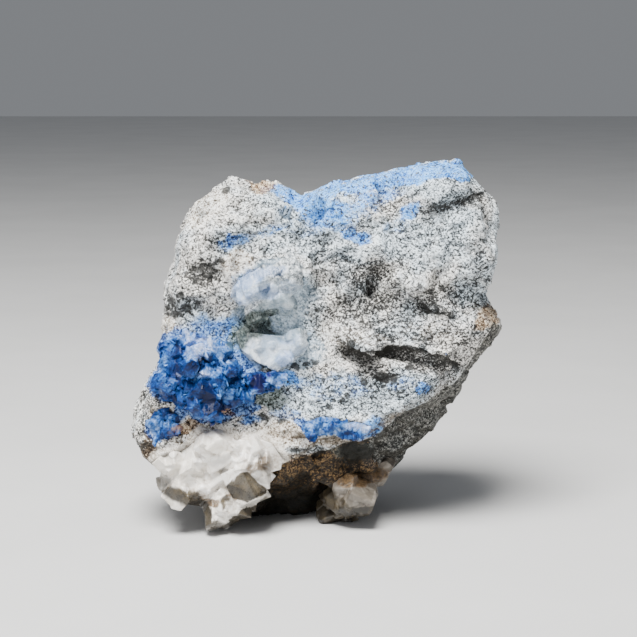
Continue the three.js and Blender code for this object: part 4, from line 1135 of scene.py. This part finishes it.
def shade_mass(mesh):
    """Writes a crystal mass's colour masks, painted shade on the quartz among them"""
    points = points_of(mesh)
    px, py = shaken_pixels(points, CRYSTAL_SHAKE)
    tables = {
        "rust": QUARTZ_RUST + RUST[:5], "violet": VIOLET_CRYSTALS, "sky": POCKET_BLUE,
        "slate": POCKET_SLATE, "green_black_and_shade": POCKET_GREEN_BLACK_AND_SHADE,
    }
    for name, table in tables.items():
        set_attribute(mesh, name, mask_of(px, py, table))
    set_attribute(mesh, "sugary", 1 - mask_of(px, py, POCKET_CLEAR))
    pale = mask_of(px, py, PALE_CRYSTALS)
    navy = mask_of(px, py, NAVY_CRYSTALS)
    set_attribute(mesh, "tone", 0.36 * pale * (1 - navy) - 0.2 * navy)
    smoky_and_shade = mask_of(px, py, SMOKY_AND_SHADED_QUARTZ)
    ex, ey = shaken_pixels(points, FACE_SHAKE)
    for share, corners in SMOKY_FACES:
        smoky_and_shade = np.maximum(smoky_and_shade, share * inside_area(ex, ey, corners, 1.2))
    for corners in PALE_FACES:
        smoky_and_shade = np.where(inside_area(ex, ey, corners, 1.0) > 0.5, 0.4, smoky_and_shade)
    set_attribute(mesh, "smoky_and_shade", smoky_and_shade)


# The closed lines that the quartz at the two feet keeps to, and (y, x) of their outlines
MILKY_AREA = [
    (140, 446), (165, 436), (200, 431), (240, 428), (262, 431), (280, 448), (274, 467), (266, 480),
    (256, 500), (249, 526), (203, 529), (194, 502), (188, 500), (178, 510), (157, 492), (144, 466),
]
FOOT_AREA = [
    (318, 505), (326, 491), (343, 484), (345, 472), (370, 464), (386, 460), (395, 465), (385, 484),
    (377, 499), (373, 511), (366, 521), (361, 527), (330, 527), (318, 520),
]
FOOT_RIGHT = [(455, 400), (464, 395), (484, 384), (499, 376), (510, 372), (520, 366), (526, 361)]
MILKY_NOTCH = [(498, 194), (504, 199), (510, 203), (516, 205), (532, 206)]
PIT = (258, 326, 16, 15, -20, 1.0)
PIT_DEPTH = 1.4


def trim_foot(points, normals):
    """Pulls the right foot back to its outline on the right"""
    px, py = photo_pixels(points)
    over = np.maximum(px - np.interp(py, *zip(*FOOT_RIGHT)), 0)
    points[:, 0] -= OUTLINE_PULL * over * DISTANCE / FOCAL_PIXELS


def trim_notch(points, normals):
    """Pushes the milky foot back to the right side of the notch left of it"""
    px, py = photo_pixels(points)
    rows, limits = zip(*MILKY_NOTCH)
    short = np.maximum(np.interp(py, rows, limits, left=0) - px, 0)
    short *= smooth_step(limits[0] - 3, limits[0] + 3, px)
    points[:, 0] += OUTLINE_PULL * short * DISTANCE / FOCAL_PIXELS


def press_pit(points, normals):
    """Presses the pocket's pit into the clear quartz"""
    dent = mask_of(*photo_pixels(points), [PIT])
    dent *= PIT_DEPTH * smooth_step(0.0, 0.4, normals @ TO_CAMERA)
    points -= TO_CAMERA * dent[:, None]


FOOT_CRYSTALS = [
    (380, 471, 4.0), (368, 474, 4.2), (356, 481, 3.6), (386, 465, 2.8), (346, 487, 3.0),
    (360, 496, 4.4), (368, 506, 3.0),
]
QUARTZ_EDGES = [
    (178, 494, 26, 14, 20, 1.0), (228, 503, 30, 22, 1.0), (162, 472, 12, 20, -30, 0.5),
    (255, 476, 22, 20, -30, 1.0), (210, 455, 60, 30, 0.04),
]
QUARTZ_CRYSTALS = [
    (236, 510, 3.4), (246, 486, 5.0), (256, 473, 4.0), (186, 482, 4.0), (238, 496, 3.0),
    (212, 514, 4.0), (178, 494, 3.4), (206, 444, 3.4), (219, 443, 3.4),
]
LARGE_CRYSTALS = [
    (202, 394, 4.0), (190, 367, 3.0), (176, 353, 3.2), (213, 352, 3.2), (200, 351, 2.8),
    (160, 383, 2.8), (230, 370, 2.6), (176, 373, 2.8), (244, 395, 2.4), (186, 386, 2.8),
    (227, 397, 2.6), (194, 405, 1.6), (218, 383, 2.4), (182, 398, 2.4), (206, 372, 2.4),
    (170, 362, 2.4), (226, 350, 2.2), (212, 410, 2.4), (238, 382, 2.0),
]
BLUE_FACETS = [(1.6, 0.09), (0.7, 0.04)]
BLUE_SEED = 20
BLUE_GROUPS = {  # voxel, number of blocks, their sizes, placed blocks, share of the blades
    "linarite_main_cluster": (0.18, 70, (0.9, 2.0), LARGE_CRYSTALS, 0.76),
    "linarite_indigo_crystals": (0.15, 14, (0.7, 1.4), [(259, 384, 2.4), (252, 379, 1.6)], 0.08),
    "linarite_left_patch": (0.15, 20, (0.6, 1.3), [(160, 424, 1.8), (168, 430, 1.5)], 0.08),
    "linarite_lower_seam": (0.15, 24, (0.5, 1.1), [(318, 424, 1.4), (330, 426, 1.4)], 0.08),
}

crystals = [
    build_mass("milky_quartz", MILKY, QUARTZ_VOXEL, [(4.2, 0.2), (1.7, 0.06)],
               seed=3, extra=90, sizes=(1.5, 3.4), families=True, accept=at_quartz_edges,
               area=MILKY_AREA, placed=QUARTZ_CRYSTALS, trim=trim_notch),
    build_mass("right_foot_quartz", BROWN_QUARTZ_IN_SHADE, QUARTZ_VOXEL,
               [(2.6, 0.15), (1.2, 0.05)], seed=5, extra=30, sizes=(1.2, 2.6), families=True,
               area=FOOT_AREA, placed=FOOT_CRYSTALS, trim=trim_foot),
    build_mass("pocket_quartz_upper", CLEAR_QUARTZ, QUARTZ_VOXEL,
               [(2.6, 0.2), (1.1, 0.06)], seed=7, extra=26, sizes=(1.6, 3.6), families=True,
               trim=press_pit),
    build_mass("pocket_quartz_lower", CLEAR_QUARTZ, QUARTZ_VOXEL,
               [(3.0, 0.12), (1.1, 0.05)], seed=9, extra=14, sizes=(1.2, 2.6), families=True),
]
blue_shares = []
for seed, (node, group) in enumerate(BLUE_GROUPS.items(), BLUE_SEED):
    voxel, extra, sizes, placed, share = group
    crystals.append(build_mass(
        node, LINARITE, voxel, BLUE_FACETS, seed, extra, sizes, placed=placed))
    blue_shares.append((crystals[-1], share))
blades = build_blades("linarite_blades", blue_shares, count=240, length=1.2, seed=77)
new_piece("linarite_blades", blades, LINARITE)
build_rock(crystals)

# Floor and lights, in metres and watts
FLOOR_REACH = 1.5
LIGHT_AIM = (0, 0, 0.03)
LIGHTS = {  # place, size, power, colour
    "key": ((-0.08, -0.2, 0.44), 0.22, 7.6, (1.0, 0.99, 0.96)),
    "fill": ((-0.3, -0.42, 0.16), 0.4, 0.8, (0.95, 0.97, 1.0)),
}
WORLD_COLOUR = (0.9, 0.94, 1.0, 1)
WORLD_STRENGTH = 0.24

floor_mesh = bpy.data.meshes.new("floor")
floor_sides = ((-1, -1), (1, -1), (1, 1), (-1, 1))
floor_corners = [(x * FLOOR_REACH, y * FLOOR_REACH, 0) for x, y in floor_sides]
floor_mesh.from_pydata(floor_corners, [], [(0, 1, 2, 3)])
floor_nodes = Nodes("pale_floor")
floor_colour = floor_nodes.ramp(floor_nodes.noise(40.0), [(0.3, 0.58), (0.7, 0.62)])
floor_mesh.materials.append(floor_nodes.set(Base_Color=floor_colour, Roughness=0.85))
linked("floor", floor_mesh)

for name, (place, size, power, colour) in LIGHTS.items():
    light = linked(name, bpy.data.lights.new(name, "AREA"))
    light.data.size = size
    light.data.energy = power
    light.data.color = colour
    light.location = place
    light.rotation_euler = (Vector(LIGHT_AIM) - Vector(place)).to_track_quat("-Z", "Y").to_euler()
world = bpy.data.worlds.new("studio")
bpy.context.scene.world = world
world.use_nodes = True
background = world.node_tree.nodes["Background"]
background.inputs[0].default_value = WORLD_COLOUR
background.inputs[1].default_value = WORLD_STRENGTH
